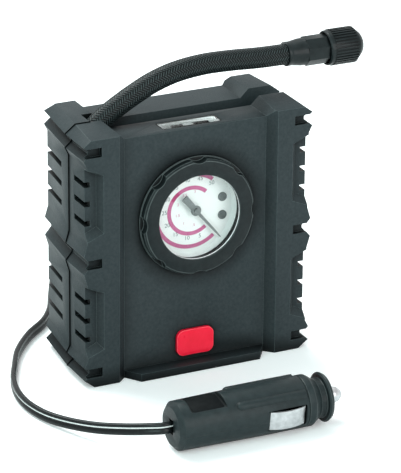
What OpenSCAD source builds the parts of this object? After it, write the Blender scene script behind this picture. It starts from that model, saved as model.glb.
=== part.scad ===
// Portable tire inflator: a 12 V piston compressor in a two-shell casing, with its gauge, light,
// hose, valve chuck, power lead and plug. Millimetres. X to the right, Y to the back, Z up.
// The origin is on the surface it stands on, in the middle of the casing's base.

/* [Casing] */
// Width over the bumper tips
body_w = 102; // [98:1:114]
// Height of the casing
body_h = 108; // [104:1:120]
// Parting plane to the front face of the posts
front_depth = 18; // [17:0.5:24]
// Parting plane to the rear face
rear_depth = 29; // [28:0.5:38]
// Rear width as a share of the width at the parting plane
rear_taper = 0.94; // [0.92:0.01:1]
// Reach of the bottom lip past the posts
lip_depth = 3.2; // [2:0.1:5]
// Height of the bottom lip
lip_h = 3.3; // [2:0.1:5]
// Wall thickness
wall = 2.4; // [1.8:0.1:3]
// Width of each post, bumper tip to inner edge
post_w = 15.6; // [14:0.1:17]
// Recess of the front panel behind the posts
panel_step = 3.6; // [2:0.1:5]
// Recess of the rear panel behind its posts
rear_step = 2.4; // [1:0.1:4]
// Width of the slope beside each post
step_run = 3.7; // [2:0.1:5]
// Drop of the low top below the posts
top_drop = 3.6; // [2:0.1:5]

/* [Bumpers and vents] */
// Height of the bumper tips over the bays
tip_h = 1.5; // [0.5:0.1:2]
// Depth of the groove between two tips
groove_d = 2.8; // [1.5:0.1:3.2]
// Distance between the tips of an end bumper
end_gap = 5.8; // [4:0.1:7]
// Distance between the tips of the middle bumper
mid_gap = 7.8; // [5:0.1:9]
// Middle of an end bumper to the end of the casing
end_z = 6.3; // [5:0.1:8]
// Height of a vent slot
slot_h = 2.4; // [1.5:0.1:3.5]
// Vent slot pitch
slot_pitch = 8.3; // [6:0.1:9]
// Vent slots in a bay
slots = 3; // [1:1:3]
// Depth of the pockets in the post faces
pocket_d = 2.8; // [1:0.1:3.2]

/* [Gauge] */
// Drop of the gauge's centre below the top
gauge_drop = 41; // [38:0.5:43]
// Radius of the bezel's flange
flange_r = 25.4; // [25:0.1:27]
// Radius of the bezel's opening
opening_r = 18.1; // [17:0.1:19.5]
// Height of the bezel over the panel
bezel_h = 4.5; // [4:0.1:6]
// Finger scallops round the bezel
scallops = 8; // [6:1:12]
// Inner radius of the gauge case
case_r = 20.3; // [20:0.1:21]
// Depth of the dial behind the panel
dial_depth = 4; // [3.5:0.1:5]
// Pointer axis to the right of the bezel's centre
pointer_dx = 0.9; // [0:0.1:1.2]
// Pointer axis above the bezel's centre
pointer_dz = 0.8; // [0:0.1:1.2]
// Pointer length from axis to tip
pointer_len = 17.2; // [14:0.1:17.6]
// Direction of the pointer at zero, from +X towards +Z
zero_deg = -50; // [-60:1:-40]

/* [Button and light] */
// Width of the power button
button_w = 16.6; // [12:0.1:18]
// Height of the power button
button_h = 11.3; // [10:0.1:13]
// Height of the button's centre
button_z = 10.8; // [10.8:0.1:14]
// Height of the button over the panel
button_proud = 1.3; // [0.8:0.1:2.5]
// Length of the light's lens
lamp_w = 26.4; // [20:0.1:30]
// Width of the light's lens, front to back
lamp_d = 8; // [6:0.1:8.2]

/* [Hose and chuck] */
// Diameter of the braided hose
hose_d = 8.8; // [8:0.1:9]
// Width of the hose channel
channel_w = 9.4; // [9.4:0.1:11]
// Depth of the hose channel below the low top
channel_d = 10; // [8:0.5:11]
// Outer diameter of the chuck
chuck_d = 14.6; // [14:0.1:17]
// Length of the chuck
chuck_l = 17; // [16:0.5:22]
// Ribs round the chuck
chuck_ribs = 36; // [24:1:40]
// Radius of the chuck's threaded bore, for a tire valve of 7.7 mm
valve_r = 3.95; // [3.8:0.05:4.1]

/* [Pump] */
// Diameter of the motor can
motor_d = 25; // [22:0.1:26]
// Length of the motor can
motor_l = 38; // [34:0.5:39]
// Gear module
gear_m = 0.55; // [0.5:0.05:0.55]
// Teeth of the motor pinion
pinion_n = 10; // [10:1:11]
// Teeth of the crank gear
crank_n = 44; // [40:1:44]
// Throw of the crank pin
throw = 4.5; // [3:0.1:5]
// Connecting rod, pin to pin
rod_l = 22; // [22:0.5:27]
// Cylinder bore radius
bore_r = 7; // [6:0.1:7.5]
// Cylinder wall
cyl_wall = 1.8; // [1.5:0.1:2.4]

/* [Lead and plug] */
// Width of the two-core lead
cord_w = 5; // [4.5:0.1:5.2]
// Thickness of the two-core lead
cord_t = 2.5; // [2:0.1:2.6]
// Turns in each of the coil's two layers
coil_turns = 7; // [4:1:7]
// Radius of the coil at the middle of its turns
coil_r = 29; // [27:0.5:32]
// Plug barrel radius at the nose
plug_r = 10.5; // [10:0.1:10.8]
// Plug barrel radius at the lead
plug_rear_r = 10; // [9:0.1:10.2]
// Length of the plug barrel
plug_l = 55.5; // [50:0.5:64]
// Roll of the plug about its axis
plug_roll = 8; // [0:1:20]

/* [Hidden] */
$fn = 48;

black = [0.17, 0.19, 0.2];
charcoal = [0.23, 0.26, 0.27];
rubber = [0.1, 0.11, 0.12];
red = [0.88, 0.12, 0.18];
steel = [0.75, 0.77, 0.78];
alloy = [0.62, 0.64, 0.66];
brass = [0.8, 0.66, 0.35];
white = [0.95, 0.95, 0.94];
nylon = [0.86, 0.85, 0.8];

// Running clearance of a shaft, slack of a loose fit, and the gap of a close one
run = 0.05;
slack = 0.3;
close = 0.15;

// Planes of the casing
half_w = body_w / 2;
seam_y = -(rear_depth - front_depth - lip_depth) / 2;
front_y = seam_y - front_depth;
panel_y = front_y + panel_step;
lip_y = front_y - lip_depth;
rear_y = seam_y + rear_depth;
rear_panel_y = rear_y - rear_step;
rear_in = half_w * (1 - rear_taper);
taper_deg = atan(rear_in / rear_depth);
low_top = body_h - top_drop;
post_x = half_w - post_w;
panel_x = post_x - step_run;
bay_x = half_w - tip_h;
groove_flat = 1.2;
corner_x = 4.4;
corner_z = 3.6;
end_flare = 3;
mid_flare = 5;
mid_z = body_h / 2;
gauge_z = body_h - gauge_drop;
top_z = body_h - end_z;
bay_top = top_z - end_gap / 2 - end_flare;
bay_mid = mid_z + mid_gap / 2 + mid_flare;
bay_zs = [(bay_top + bay_mid) / 2, body_h - (bay_top + bay_mid) / 2];
bumper_zs = [end_z, mid_z, top_z];
cavity_x = bay_x - wall + 0.2;
cavity_front = panel_y + wall;
cavity_rear = rear_panel_y - wall;
slot_x = cavity_x - 0.3;
slot_front_end = seam_y - 5;
slot_rear_start = seam_y + 10;
slot_rear_end = rear_y + 1;
pocket_x = 43;
groove_slot_h = 4;
groove_slot_d = 2.2;
edge_cut = 3;
post_fall = 1;

// Hose channel behind the parting plane
channel_x = 11 - half_w;
channel_z = low_top - channel_d;
hose_y = seam_y + channel_w / 2;
elbow_low = channel_z - 8;
elbow_reach = 5;

// Screw bosses
boss_spots = [[half_w - 12, 9.5], [26, low_top - 18.4]];
boss_r = 3.5;
screw_r = 1.4;
screw_head_r = 2.7;
screw_seat = seam_y + 12;

// Gauge, measured forward of the panel
bezel_lip = 0.8;
bezel_ring_r = flange_r - 0.5;
bezel_bore = case_r + 0.8;
skirt_r = bezel_bore + 1.6;
rim_back = bezel_h - bezel_lip - 2.2;
lens_back = rim_back - 1.1;
case_depth = 12.8;
dial_t = 0.6;
dial_rim = 2.4;
pointer_h = 2.6;
pointer_t = 0.5;
spindle_r = 0.6;
sector_m = 0.25;
gauge_pinion_n = 10;
sector_n = 70;
sector_deg = 215;
sector_pin_r = 0.55;
sector_t = 1;
pointer_swing = 260;
sector_x = pointer_dx + sector_m * (gauge_pinion_n + sector_n) / 2 * cos(sector_deg);
sector_z = pointer_dz + sector_m * (gauge_pinion_n + sector_n) / 2 * sin(sector_deg);
sector_h = -dial_depth - dial_t - 2.6;
tube_r = 15.6;
dial_screw_x = 14;
dial_screw_z = 3.95;
block_x0 = 11;
block_x1 = 18.4;
block_z = 5.4;

// Button and switch
button_r = 3.2;
button_travel = 1.8;
flange_t = 1;
switch_y = cavity_front + button_travel + flange_t + 0.4;
switch_l = 6;
plunger_in = 1.2;

// Light
lamp_y = seam_y - 3.4 - lamp_d / 2;
lamp_t = 1.5;
reflector_h = 7;
bulb_r = 1.2;
bulb_z = low_top - wall - bulb_r - 0.2;

// Pump
motor_y = cavity_rear - motor_d / 2 - 0.5;
motor_z = motor_d / 2 + wall + 2.3;
motor_x = 8;
shaft_r = 1.6;
gear_c = gear_m * (pinion_n + crank_n) / 2;
crank_z = motor_z + gear_c;
crank_y = motor_y;
frame_t = 2.5;
frame_x = motor_x + frame_t;
gear_x = frame_x + 1;
gear_t = 5;
crank_face = gear_x + gear_t;
axle_r = 2.5;
rod_x = crank_face + 1.2;
rod_t = 4;
cyl_x = rod_x + rod_t / 2;
pin_r = 2;
small_end_r = 3.6;
wrist_z = crank_z + throw + rod_l;
piston_l = 9;
piston_top = wrist_z + 5;
cyl_r = bore_r + cyl_wall;
cyl_z = crank_z + gear_m * crank_n / 2 + 2;
cyl_top = piston_top + 0.6;
shelf_t = 3;
head_h = 8;
head_w = 2 * cyl_r + 4;
head_z = cyl_top + 0.8;
barb_z = head_z + 4;
barb_x = cyl_x - head_w / 2 - 6;

// Hose route in its own plane, from the casing's left side and top, and the pieces at its ends
hose_line = [[12.6, -7.2], [15.4, -3.9], [19, -0.9], [24, 2.4], [32, 6.9], [41, 11.1],
    [51, 14], [63, 15.4], [75, 15.3], [88, 14.6], [97, 14.4], [100.5, 14.4]];
hose_route = [for (p = hose_line) [p[0] - half_w, p[1] + body_h]];
hose_root = hose_route[0];
root_deg = atan2(hose_route[1][1] - hose_root[1], hose_route[1][0] - hose_root[0]);
elbow_c = hose_root - elbow_reach * [cos(root_deg), sin(root_deg)];
sleeve_x = hose_route[len(hose_route) - 1][0];
sleeve_z = hose_route[len(hose_route) - 1][1];
sleeve_l = 19;
sleeve_r = 5.7;
neck_r = 5;
chuck_x = sleeve_x + sleeve_l - 1.2;
shank_r = 3.2;
shank_t = 1.2;
web_x = chuck_x + 4.2;
shank_x = web_x + 0.15;
seal_x = shank_x + shank_t + 1;
thread_x = seal_x + 3.45;
seat_r = valve_r + 0.35;

// Strain relief, and the lead: to the coil, and from the coil to the plug
boot_neck = 2.6;
boot_r = 3.6;
boot_tip_r = 3.1;
boot_x = half_w - 10.6;
boot_z = 24;
tail_route = [[boot_x, 46, boot_z], [boot_x, 49, boot_z], [43, 56, 22.6], [49, 63, 18.2], [55.6, 67.6, 13.2],
    [60, 70.8, 10.2], [61.9, 73.4, 9.6], [63.4, 76, 9.6]];
lead_route = [[-11.4, 100.5, 3.4], [-17, 89, 2.8], [-22.8, 77, 2.6], [-28.6, 65, 2.6], [-34.8, 52, 2.6],
    [-42.2, 41.5, 2.6], [-53, 31.5, 2.6], [-64, 17.5, 2.6], [-71.5, 3, 2.6],
    [-76.5, -8, 2.6], [-79.6, -20, 2.6], [-80, -32, 2.6], [-77.6, -44, 2.8], [-73, -55.5, 3.8],
    [-66.5, -68, 5.8], [-59, -78.5, 8.2], [-52, -85.5, 9.9], [-47, -88.5, 10.5], [-42, -88.5, 10.5]];
lead_in = 6;
coil_pitch = cord_t + 0.55;
coil_step = cord_w + 0.7;
coil_out = coil_r + coil_pitch * coil_turns / 2;
coil_from = -30;
coil_last = 2 * coil_turns - 0.49;
tail_end = tail_route[len(tail_route) - 1];
coil_c = [tail_end[0] - lead_in * sin(coil_from) - coil_out * cos(coil_from),
    tail_end[1] + lead_in * cos(coil_from) - coil_out * sin(coil_from)];
coil_z = tail_end[2] - coil_step;
tie_t = 0.8;
slot_in = 1.7;
plug_x = lead_route[len(lead_route) - 1][0] - slot_in;
plug_y = lead_route[len(lead_route) - 1][1];
plug_z = plug_r;
plug_cavity = plug_r - 3;
cap_x = plug_x + plug_l;
spigot_r = plug_cavity - 1;
spigot_l = 2.2;
collar_l = 3.4;
neck_slope = 3.4;
disc_x = cap_x + 9.3;
disc_t = 2.6;
nose_t = 1.6;
tip_r = 3.4;
tip_flange = 0.8;
tip_x = disc_x + disc_t;
tip_l = 7.2;
tip_travel = 3;
tip_back = tip_x - nose_t - 0.1 - 1.6;
fuse_r = 3.1;
fuse_l = 30;
contact_travel = 0.8;
contact_r = 20;
contact_mid = cap_x - 9.3;
window_l = 16.5;
window_w = 9;
rib_r = 2.1;
rib_l = 29;
rib_deg = 50;
wire_r = 0.7;

echo(hose_mm = path_length([for (p = hose_route) [p[0], hose_y, p[1]]]));
echo(lead_mm = path_length(tail_route) + path_length(coil_path()) + path_length(lead_path()));
echo(coil_least_gap = coil_gap());

// ---------- shared shapes ----------

module slab_y(y0, y1) {
    translate([0, y1, 0]) rotate([90, 0, 0]) linear_extrude(y1 - y0) children();
}

module slab_x(x0, x1) {
    translate([x0, 0, 0]) rotate([90, 0, 90]) linear_extrude(x1 - x0) children();
}

module rod_x(r, x0, x1, r2 = undef) {
    translate([x0, 0, 0]) rotate([0, 90, 0]) cylinder(r1 = r, r2 = is_undef(r2) ? r : r2, h = x1 - x0);
}

module rod_y(r, y0, y1, r2 = undef) {
    translate([0, y0, 0]) rotate([-90, 0, 0]) cylinder(r1 = r, r2 = is_undef(r2) ? r : r2, h = y1 - y0);
}

module spun_x() {
    rotate([0, 90, 0]) rotate_extrude() children();
}

module box(lo, hi) {
    translate(lo) cube(hi - lo);
}

module both_sides() {
    children();
    mirror([1, 0, 0]) children();
}

module round_rect(w, h, r) {
    square([w, h - 2 * r], center = true);
    square([w - 2 * r, h], center = true);
    for (a = [-1, 1], b = [-1, 1]) translate([a * (w / 2 - r), b * (h / 2 - r)]) circle(r);
}

// A solid between two outlines of equal point count, in planes of constant Y
module loft_y(a, ya, b, yb) {
    n = len(a);
    polyhedron(
        [for (p = a) [p[0], ya, p[1]], for (p = b) [p[0], yb, p[1]]],
        [[for (i = [0:n - 1]) i], [for (i = [n - 1:-1:0]) n + i],
            for (i = [0:n - 1]) each let (j = (i + 1) % n) [[i, n + i, n + j], [i, n + j, j]]]);
}

// Involute gear outline with a tooth along +X
function inv_deg(a) = tan(a) * 180 / PI - a;
function gear_outline(n, m, add, ded, play) = let (
    r = m * n / 2, rb = r * cos(20), tip = r + add, root = r - ded,
    half = (PI * m / 2 - play) / (2 * r) * 180 / PI + inv_deg(20),
    low = max(rb, root), radii = [low, (low + tip) / 2, tip],
    flank = [for (q = radii) [q, half - inv_deg(acos(rb / q))]],
    full = concat(root < rb ? [[root, flank[0][1]]] : [], flank))
    [for (k = [0:n - 1], s = [-1, 1], i = [0:len(full) - 1])
        let (f = full[s < 0 ? i : len(full) - 1 - i], a = 360 * k / n + s * f[1]) f[0] * [cos(a), sin(a)]];

// Swept tube: the section's second axis stays as near to straight up as the path allows
function unit(v) = v / norm(v);
function path_length(p) = len(p) < 2 ? 0 : [for (i = [1:len(p) - 1]) norm(p[i] - p[i - 1])] * [for (i = [1:len(p) - 1]) 1];
function heading(p, i) = unit(p[min(i + 1, len(p) - 1)] - p[max(i - 1, 0)]);
function ring(p, i, section) = let (t = heading(p, i), s = unit(cross(t, [0, 0, 1])), u = cross(s, t))
    [for (q = section) p[i] + q[0] * s + q[1] * u];
module sweep(path, section) {
    n = len(section);
    m = len(path);
    polyhedron(
        [for (i = [0:m - 1]) each ring(path, i, section)],
        [[for (k = [0:n - 1]) k], [for (k = [n - 1:-1:0]) (m - 1) * n + k],
            for (i = [0:m - 2], k = [0:n - 1]) each let (a = i * n + k, b = i * n + (k + 1) % n)
                [[a, a + n, b + n], [a, b + n, b]]]);
}
function circle_section(r, n) = [for (k = [0:n - 1]) r * [cos(360 * k / n), -sin(360 * k / n)]];
function twin_section() = [for (s = [1, -1]) each
    [[0, s * cord_w / 2], [s * cord_t * 0.46, s * cord_w * 0.33], [s * cord_t * 0.28, 0],
        [s * cord_t * 0.46, -s * cord_w * 0.33]]];
function coil_section() = [for (s = [1, -1]) each
    [[0, s * cord_w / 2], [s * cord_t / 2, s * cord_w * 0.27], [s * cord_t / 2, -s * cord_w * 0.27]]];

// Coil of two layers: in on top, down a layer in half a turn, and out along the floor.
// The half turn that changes layer also swings in a little, clear of both its neighbours.
function ramp(t) = t <= 0 ? 0 : t >= 1 ? 1 : t * t * (3 - 2 * t);
function swing(t) = abs(t) >= 0.3 ? 0 : 0.8 * pow(1 - pow(t / 0.3, 2), 2);
function coil_in(t) = (t < coil_turns ? t : 2 * coil_turns - t) + swing(t - coil_turns);
function coil_deg(t) = coil_from + 360 * t;
function coil_point(t) = let (r = coil_out - coil_pitch * coil_in(t), down = ramp((t - coil_turns + 0.25) * 2))
    [coil_c[0] + r * cos(coil_deg(t)), coil_c[1] + r * sin(coil_deg(t)), coil_z + coil_step * (1 - down)];
function coil_way(t) = [-sin(coil_deg(t)), cos(coil_deg(t)), 0];
function coil_path() = concat(
    [coil_point(0) - lead_in * coil_way(0)],
    [for (k = [0:coil_last * 24]) coil_point(k / 24)],
    [coil_point(coil_last), coil_point(coil_last) + lead_in * coil_way(coil_last)]);
function coil_gap() = let (p = coil_path(), n = len(p))
    min([for (i = [0:n - 13], j = [i + 12:n - 1])
        max(norm([p[i][0] - p[j][0], p[i][1] - p[j][1]]) - cord_t, abs(p[i][2] - p[j][2]) - cord_w)]);
function lead_path() = let (p = coil_path(), end = p[len(p) - 1])
    concat([end, end + lead_in / 2 * coil_way(coil_last)], lead_route);

// ---------- casing ----------

// Right-hand edge of the casing, top to bottom: corners, bumper tips, grooves and bays
function side_edge() = concat(
    bumper(top_z, end_gap, corner_z, end_flare, true, false),
    bumper(mid_z, mid_gap, mid_flare, mid_flare, false, false),
    bumper(end_z, end_gap, end_flare, corner_z, false, true));
function bumper(z, gap, above, below, first, last) = concat(
    first ? [] : [[bay_x, z + gap / 2 + above]],
    [[half_w, z + gap / 2], [half_w - groove_d, z + groove_flat / 2],
        [half_w - groove_d, z - groove_flat / 2], [half_w, z - gap / 2]],
    last ? [] : [[bay_x, z - gap / 2 - below]]);
function casing_edge() = let (
    e = concat([[half_w - corner_x, body_h]], side_edge(), [[half_w - corner_x, 0]]), n = len(e)) concat(
    [[panel_x, low_top], [post_x, body_h]], e,
    [for (i = [n - 1:-1:0]) [-e[i][0], e[i][1]]],
    [[-post_x, body_h], [-panel_x, low_top]]);

// Recess between the posts, seen from above: step is its depth, face the plane of the posts
module panel_recess(face, step) {
    linear_extrude(body_h + 2) polygon([[-post_x, face], [-post_x, face - sign(step)],
        [post_x, face - sign(step)], [post_x, face], [panel_x, face + step], [-panel_x, face + step]]);
}

// Pocket in a post face beside a bay, with a sloped inner wall and a ramp at the bottom
module post_pocket(z) {
    out = half_w + 2;
    loft_y(
        [[pocket_x - 0.8, z + 12.4], [out, z + 17], [out, z - 17], [pocket_x - 0.8, z - 12.6]],
        front_y - 0.1,
        [[pocket_x + 1.4, z + 12.2], [out, z + 17], [out, z - 14], [pocket_x + 1.4, z - 10]],
        front_y + pocket_d);
}

module slot_row(x0, y0, y1) {
    for (z = bay_zs, k = [0:slots - 1])
        translate([x0, y0, z + (k - (slots - 1) / 2) * slot_pitch - slot_h / 2])
            cube([half_w, y1 - y0, slot_h]);
}

module at_bosses() {
    for (p = boss_spots) both_sides() translate([p[0], 0, p[1]]) children();
}

module front_shell() {
    color(charcoal) difference() {
        union() {
            difference() {
                slab_y(front_y, seam_y) polygon(casing_edge());
                translate([0, 0, -1]) panel_recess(front_y, panel_step);
                box([-cavity_x, cavity_front, wall], [cavity_x, seam_y + 1, low_top - wall]);
            }
            // bottom lip
            linear_extrude(lip_h) polygon([[-panel_x, panel_y], [-panel_x + 4.7, lip_y],
                [panel_x - 4.7, lip_y], [panel_x, panel_y]]);
            // screw bosses
            at_bosses() rod_y(boss_r, cavity_front - 0.5, seam_y);
            // rails that hold the switch
            for (s = [-1, 1]) translate([s * (button_w / 2 + 2.6), 0, 0])
                box([-0.8, cavity_front - 0.5, wall - 0.5],
                    [0.8, switch_y + switch_l - 1, button_z + 4]);
        }
        both_sides() {
            for (z = bay_zs) post_pocket(z);
            for (z = bumper_zs) box([pocket_x, front_y - 1, z - groove_slot_h / 2],
                [half_w + 1, front_y + groove_slot_d, z + groove_slot_h / 2]);
            slot_row(slot_x, front_y - 1, slot_front_end);
        }
        at_bosses() rod_y(screw_r, cavity_front + 1, seam_y + 1);
        // tops of the posts fall a little to the front
        slab_x(-half_w - 1, half_w + 1) polygon([[front_y - 1, body_h - post_fall],
            [seam_y - 0.5, body_h + 0.01], [front_y - 1, body_h + 1]]);
        // gauge, button and light openings
        translate([0, 0, gauge_z]) rod_y(skirt_r + close, panel_y - 1, cavity_front + 1);
        translate([0, 0, button_z]) slab_y(panel_y - 1, cavity_front + 1)
            round_rect(button_w + 2 * slack, button_h + 2 * slack, button_r + slack);
        translate([0, lamp_y, low_top - lamp_t]) linear_extrude(lamp_t + 1)
            round_rect(lamp_w + 2 * close, lamp_d + 2 * close, 1.2);
        translate([0, lamp_y, low_top - wall - 1]) linear_extrude(wall + 1)
            round_rect(lamp_w - 2, lamp_d - 2, 1);
    }
}

// Right side wall of the rear shell, leaning in to the back by the taper
module leaning_side() {
    top = body_h - top_z - end_gap / 2;
    low = end_z - end_gap / 2;
    in = half_w - 2 * corner_x;
    edge = concat([[in, body_h + top]], side_edge(), [[in, -low], [-2 * half_w, -low], [-2 * half_w, body_h + top]]);
    translate([half_w, seam_y, 0]) rotate([0, 0, taper_deg])
        slab_y(-5, 2 * rear_depth) polygon([for (p = edge) [(p[0] - half_w) * cos(taper_deg), p[1]]]);
}

module rear_shell() {
    color(charcoal) difference() {
        union() {
            difference() {
                intersection() {
                    box([-half_w - 1, seam_y, 0], [half_w + 1, rear_y, body_h]);
                    leaning_side();
                    mirror([1, 0, 0]) leaning_side();
                }
                slab_y(seam_y - 1, rear_y + 1) polygon([[-post_x - step_run, body_h + top_drop],
                    [-panel_x, low_top], [panel_x, low_top], [post_x + step_run, body_h + top_drop]]);
                // cavity, less the walls of the hose channel
                difference() {
                    translate([0, 0, wall]) linear_extrude(low_top - 2 * wall) polygon([
                        [-cavity_x, seam_y - 1], [cavity_x, seam_y - 1],
                        [cavity_x - rear_in, cavity_rear], [-cavity_x + rear_in, cavity_rear]]);
                    box([channel_x - wall, seam_y - 2, channel_z - wall],
                        [half_w + 1, seam_y + channel_w + wall, body_h + 1]);
                }
            }
            // screw columns
            at_bosses() rod_y(boss_r, seam_y, cavity_rear + 0.5);
            // cradle ribs round the motor
            for (x = [-24, 0]) slab_x(x, x + 2) difference() {
                polygon([[motor_y - 8, wall - 0.5], [cavity_rear + 0.5, wall - 0.5],
                    [cavity_rear + 0.5, motor_z + 10], [motor_y + 8, motor_z + 10],
                    [motor_y - 8, motor_z - 6]]);
                translate([motor_y, motor_z]) circle(motor_d / 2 + close);
            }
        }
        translate([0, 0, -1]) panel_recess(rear_y, -rear_step);
        // hose channel, open to the right
        box([channel_x, seam_y - 1, channel_z], [half_w + 2, seam_y + channel_w, body_h + 1]);
        // room for the elbow and the root of the hose
        translate([elbow_c[0], hose_y, elbow_c[1]]) rotate([0, 90 - root_deg, 0])
            cylinder(r = hose_d / 2 + close, h = 16);
        translate([elbow_c[0], hose_y, channel_z - 7])
            cylinder(r = hose_d / 2 + slack, h = elbow_c[1] - channel_z + 10);
        // vents and screw counterbores
        both_sides() slot_row(slot_x - rear_in, slot_rear_start, slot_rear_end);
        at_bosses() {
            rod_y(screw_r + close, seam_y - 1, rear_y + 1);
            rod_y(screw_head_r + slack, screw_seat, rear_y + 1);
        }
        // rear top edges of the posts
        slab_x(-half_w - 1, half_w + 1) polygon([[rear_y - edge_cut, body_h + 0.01],
            [rear_y + 0.01, body_h - edge_cut - 0.6], [rear_y + 1, body_h + 1]]);
        // way out of the lead
        translate([boot_x, 0, boot_z]) rod_y(boot_neck + close, cavity_rear - 1, rear_y + 1);
    }
}

module case_screws() {
    color(steel) at_bosses() {
        rod_y(screw_r, cavity_front + 3, screw_seat);
        difference() {
            rod_y(screw_head_r, screw_seat, screw_seat + 2);
            for (a = [0, 90]) rotate([0, a, 0]) box([-1.6, screw_seat + 1, -0.4], [1.6, screw_seat + 3, 0.4]);
        }
    }
}

// ---------- gauge ----------

module at_gauge() {
    translate([0, panel_y, gauge_z]) children();
}

// Spun about the gauge's axis, with heights measured forward of the panel
module gauge_spin() {
    at_gauge() rotate([90, 0, 0]) rotate_extrude() children();
}

// A flat shape parallel to the dial, from height h0 to h1
module gauge_slab(h0, h1) {
    at_gauge() slab_y(-h1, -h0) children();
}

module gauge_bezel() {
    cut_r = 5.1;
    color(black) difference() {
        gauge_spin() polygon([
            [opening_r, bezel_h], [opening_r, bezel_h - bezel_lip], [bezel_bore, bezel_h - bezel_lip],
            [bezel_bore, -wall], [skirt_r, -wall], [skirt_r, 0], [flange_r, 0], [flange_r, 0.9],
            [bezel_ring_r, 0.9], [bezel_ring_r, bezel_h - 0.8], [bezel_ring_r - 0.8, bezel_h]]);
        for (k = [0:scallops - 1]) rotate_gauge(90 + k * 360 / scallops)
            translate([bezel_ring_r - 1.5 + cut_r, 0, 0]) rod_y(cut_r, -bezel_h - 1, -0.9);
    }
}

module rotate_gauge(a) {
    at_gauge() rotate([0, -a, 0]) children();
}

module lens_rim() {
    color(steel) gauge_spin() polygon([
        [opening_r + 0.15, bezel_h - bezel_lip], [opening_r + 0.15, rim_back + 0.6],
        [opening_r + 0.6, rim_back], [bezel_bore - close, rim_back], [bezel_bore - close, bezel_h - bezel_lip]]);
}

module gauge_lens() {
    color([0.8, 0.9, 0.95, 0.3]) gauge_slab(lens_back, rim_back) circle(bezel_bore - close);
}

module gauge_case() {
    out_r = bezel_bore - close;
    color(black) {
        gauge_spin() polygon([
            [0, -case_depth - 0.8], [out_r, -case_depth - 0.8], [out_r, -wall - 1.6],
            [flange_r - 0.6, -wall - 1.6], [flange_r - 0.6, -wall], [out_r, -wall], [out_r, lens_back],
            [case_r, lens_back], [case_r, -dial_depth - dial_t], [case_r - 1, -dial_depth - dial_t],
            [case_r - 1, -case_depth], [0, -case_depth]]);
        // bearing of the pointer's spindle, and the pivot of the toothed sector
        at_gauge() translate([pointer_dx, 0, pointer_dz]) difference() {
            rod_y(1.8, case_depth - 2.4, case_depth + 0.1);
            rod_y(spindle_r + run, case_depth - 3, case_depth - 0.7);
        }
        at_gauge() translate([sector_x, 0, sector_z])
            rod_y(sector_pin_r, -sector_h - 0.1, case_depth + 0.1);
    }
}

module gauge_dial() {
    color(white) difference() {
        gauge_spin() polygon([
            [0, -dial_depth - dial_t], [case_r - close, -dial_depth - dial_t],
            [case_r - close, -dial_depth + dial_rim], [case_r - close - 0.5, -dial_depth + dial_rim],
            [case_r - 1.9, -dial_depth], [0, -dial_depth]]);
        gauge_slab(-dial_depth - 2, -dial_depth + 1) {
            translate([pointer_dx, pointer_dz]) circle(1);
            dial_screw_spots() circle(1.1);
        }
    }
}

module dial_screws() {
    color(steel) {
        gauge_slab(-dial_depth, -dial_depth + 0.6) dial_screw_spots() circle(1.9);
        gauge_slab(-dial_depth - 3.4, -dial_depth) dial_screw_spots() circle(0.95);
    }
}

module dial_screw_spots() {
    for (s = [-1, 1]) translate([dial_screw_x, s * dial_screw_z]) children();
}

// Pointer and its spindle, with the little pinion behind the dial
module gauge_pointer() {
    h0 = -dial_depth + pointer_h;
    color([0.35, 0.37, 0.38]) at_gauge() translate([pointer_dx, 0, pointer_dz]) {
        rotate([0, -zero_deg, 0]) slab_y(-h0 - pointer_t, -h0) {
            polygon([[0, -0.7], [pointer_len - 3.6, -0.45], [pointer_len, -0.15],
                [pointer_len, 0.15], [pointer_len - 3.6, 0.45], [0, 0.7]]);
            polygon([[-8.2, -1.5], [-8.2, 1.5], [0, 1.2], [0, -1.2]]);
            circle(2.2);
        }
        rod_y(1.1, -h0 - pointer_t - 0.9, -h0);
        rod_y(spindle_r, -h0, case_depth - 1);
        slab_y(-sector_h - 1.4, -sector_h) rotate(sector_deg)
            polygon(gear_outline(gauge_pinion_n, sector_m, sector_m, 1.25 * sector_m, 0.08));
    }
}

module gauge_block() {
    color(brass) difference() {
        at_gauge() box([block_x0, dial_depth + dial_t, -block_z], [block_x1, case_depth, block_z]);
        gauge_slab(-dial_depth - 4, -dial_depth) dial_screw_spots() circle(0.95);
    }
}

module bourdon_tube() {
    from = asin((block_z + 0.2) / (tube_r - 0.6));
    color(brass) at_gauge() rotate([90, 0, 0]) translate([0, 0, -case_depth]) rotate([0, 0, from])
        rotate_extrude(angle = 268) translate([tube_r, 0])
            polygon([[-0.6, 0.6], [0, 0], [0.6, 0.6], [0.6, 3.4], [0, 4], [-0.6, 3.4]]);
}

// Toothed sector on its pivot; at zero the last of its teeth are in mesh
module sector_gear() {
    turn = pointer_swing * gauge_pinion_n / sector_n;
    outer = sector_m * sector_n / 2 + 1;
    mesh = sector_deg - 180;
    color(brass) at_gauge() translate([sector_x, 0, sector_z]) difference() {
        union() {
            slab_y(-sector_h - 0.1 - sector_t, -sector_h - 0.1) intersection() {
                rotate(mesh + 180 / sector_n)
                    polygon(gear_outline(sector_n, sector_m, 0.6 * sector_m, 1.25 * sector_m, 0.08));
                rotate(mesh) polygon(concat([[0, 1.6], [-1.6, 0], [0, -1.6]],
                    [for (a = [-turn - 5:(turn + 10) / 6:5.1]) 1.1 * outer * [cos(a), sin(a)]]));
            }
            rod_y(1.6, -sector_h - 0.1 - sector_t, -sector_h - 0.1);
        }
        rod_y(sector_pin_r + run, -sector_h - 3, -sector_h + 3);
    }
}

// ---------- button, switch and light ----------

module power_button() {
    cap_back = cavity_front + 0.2;
    color(red) translate([0, 0, button_z]) {
        difference() {
            slab_y(panel_y - button_proud, cap_back) round_rect(button_w, button_h, button_r);
            translate([0, panel_y - button_proud - 69.3, 0]) sphere(r = 70, $fn = 240);
        }
        slab_y(cap_back, cap_back + flange_t) round_rect(button_w + 1.6, button_h + 1.6, button_r);
        rod_y(2, cap_back + flange_t, switch_y + plunger_in);
    }
}

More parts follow.
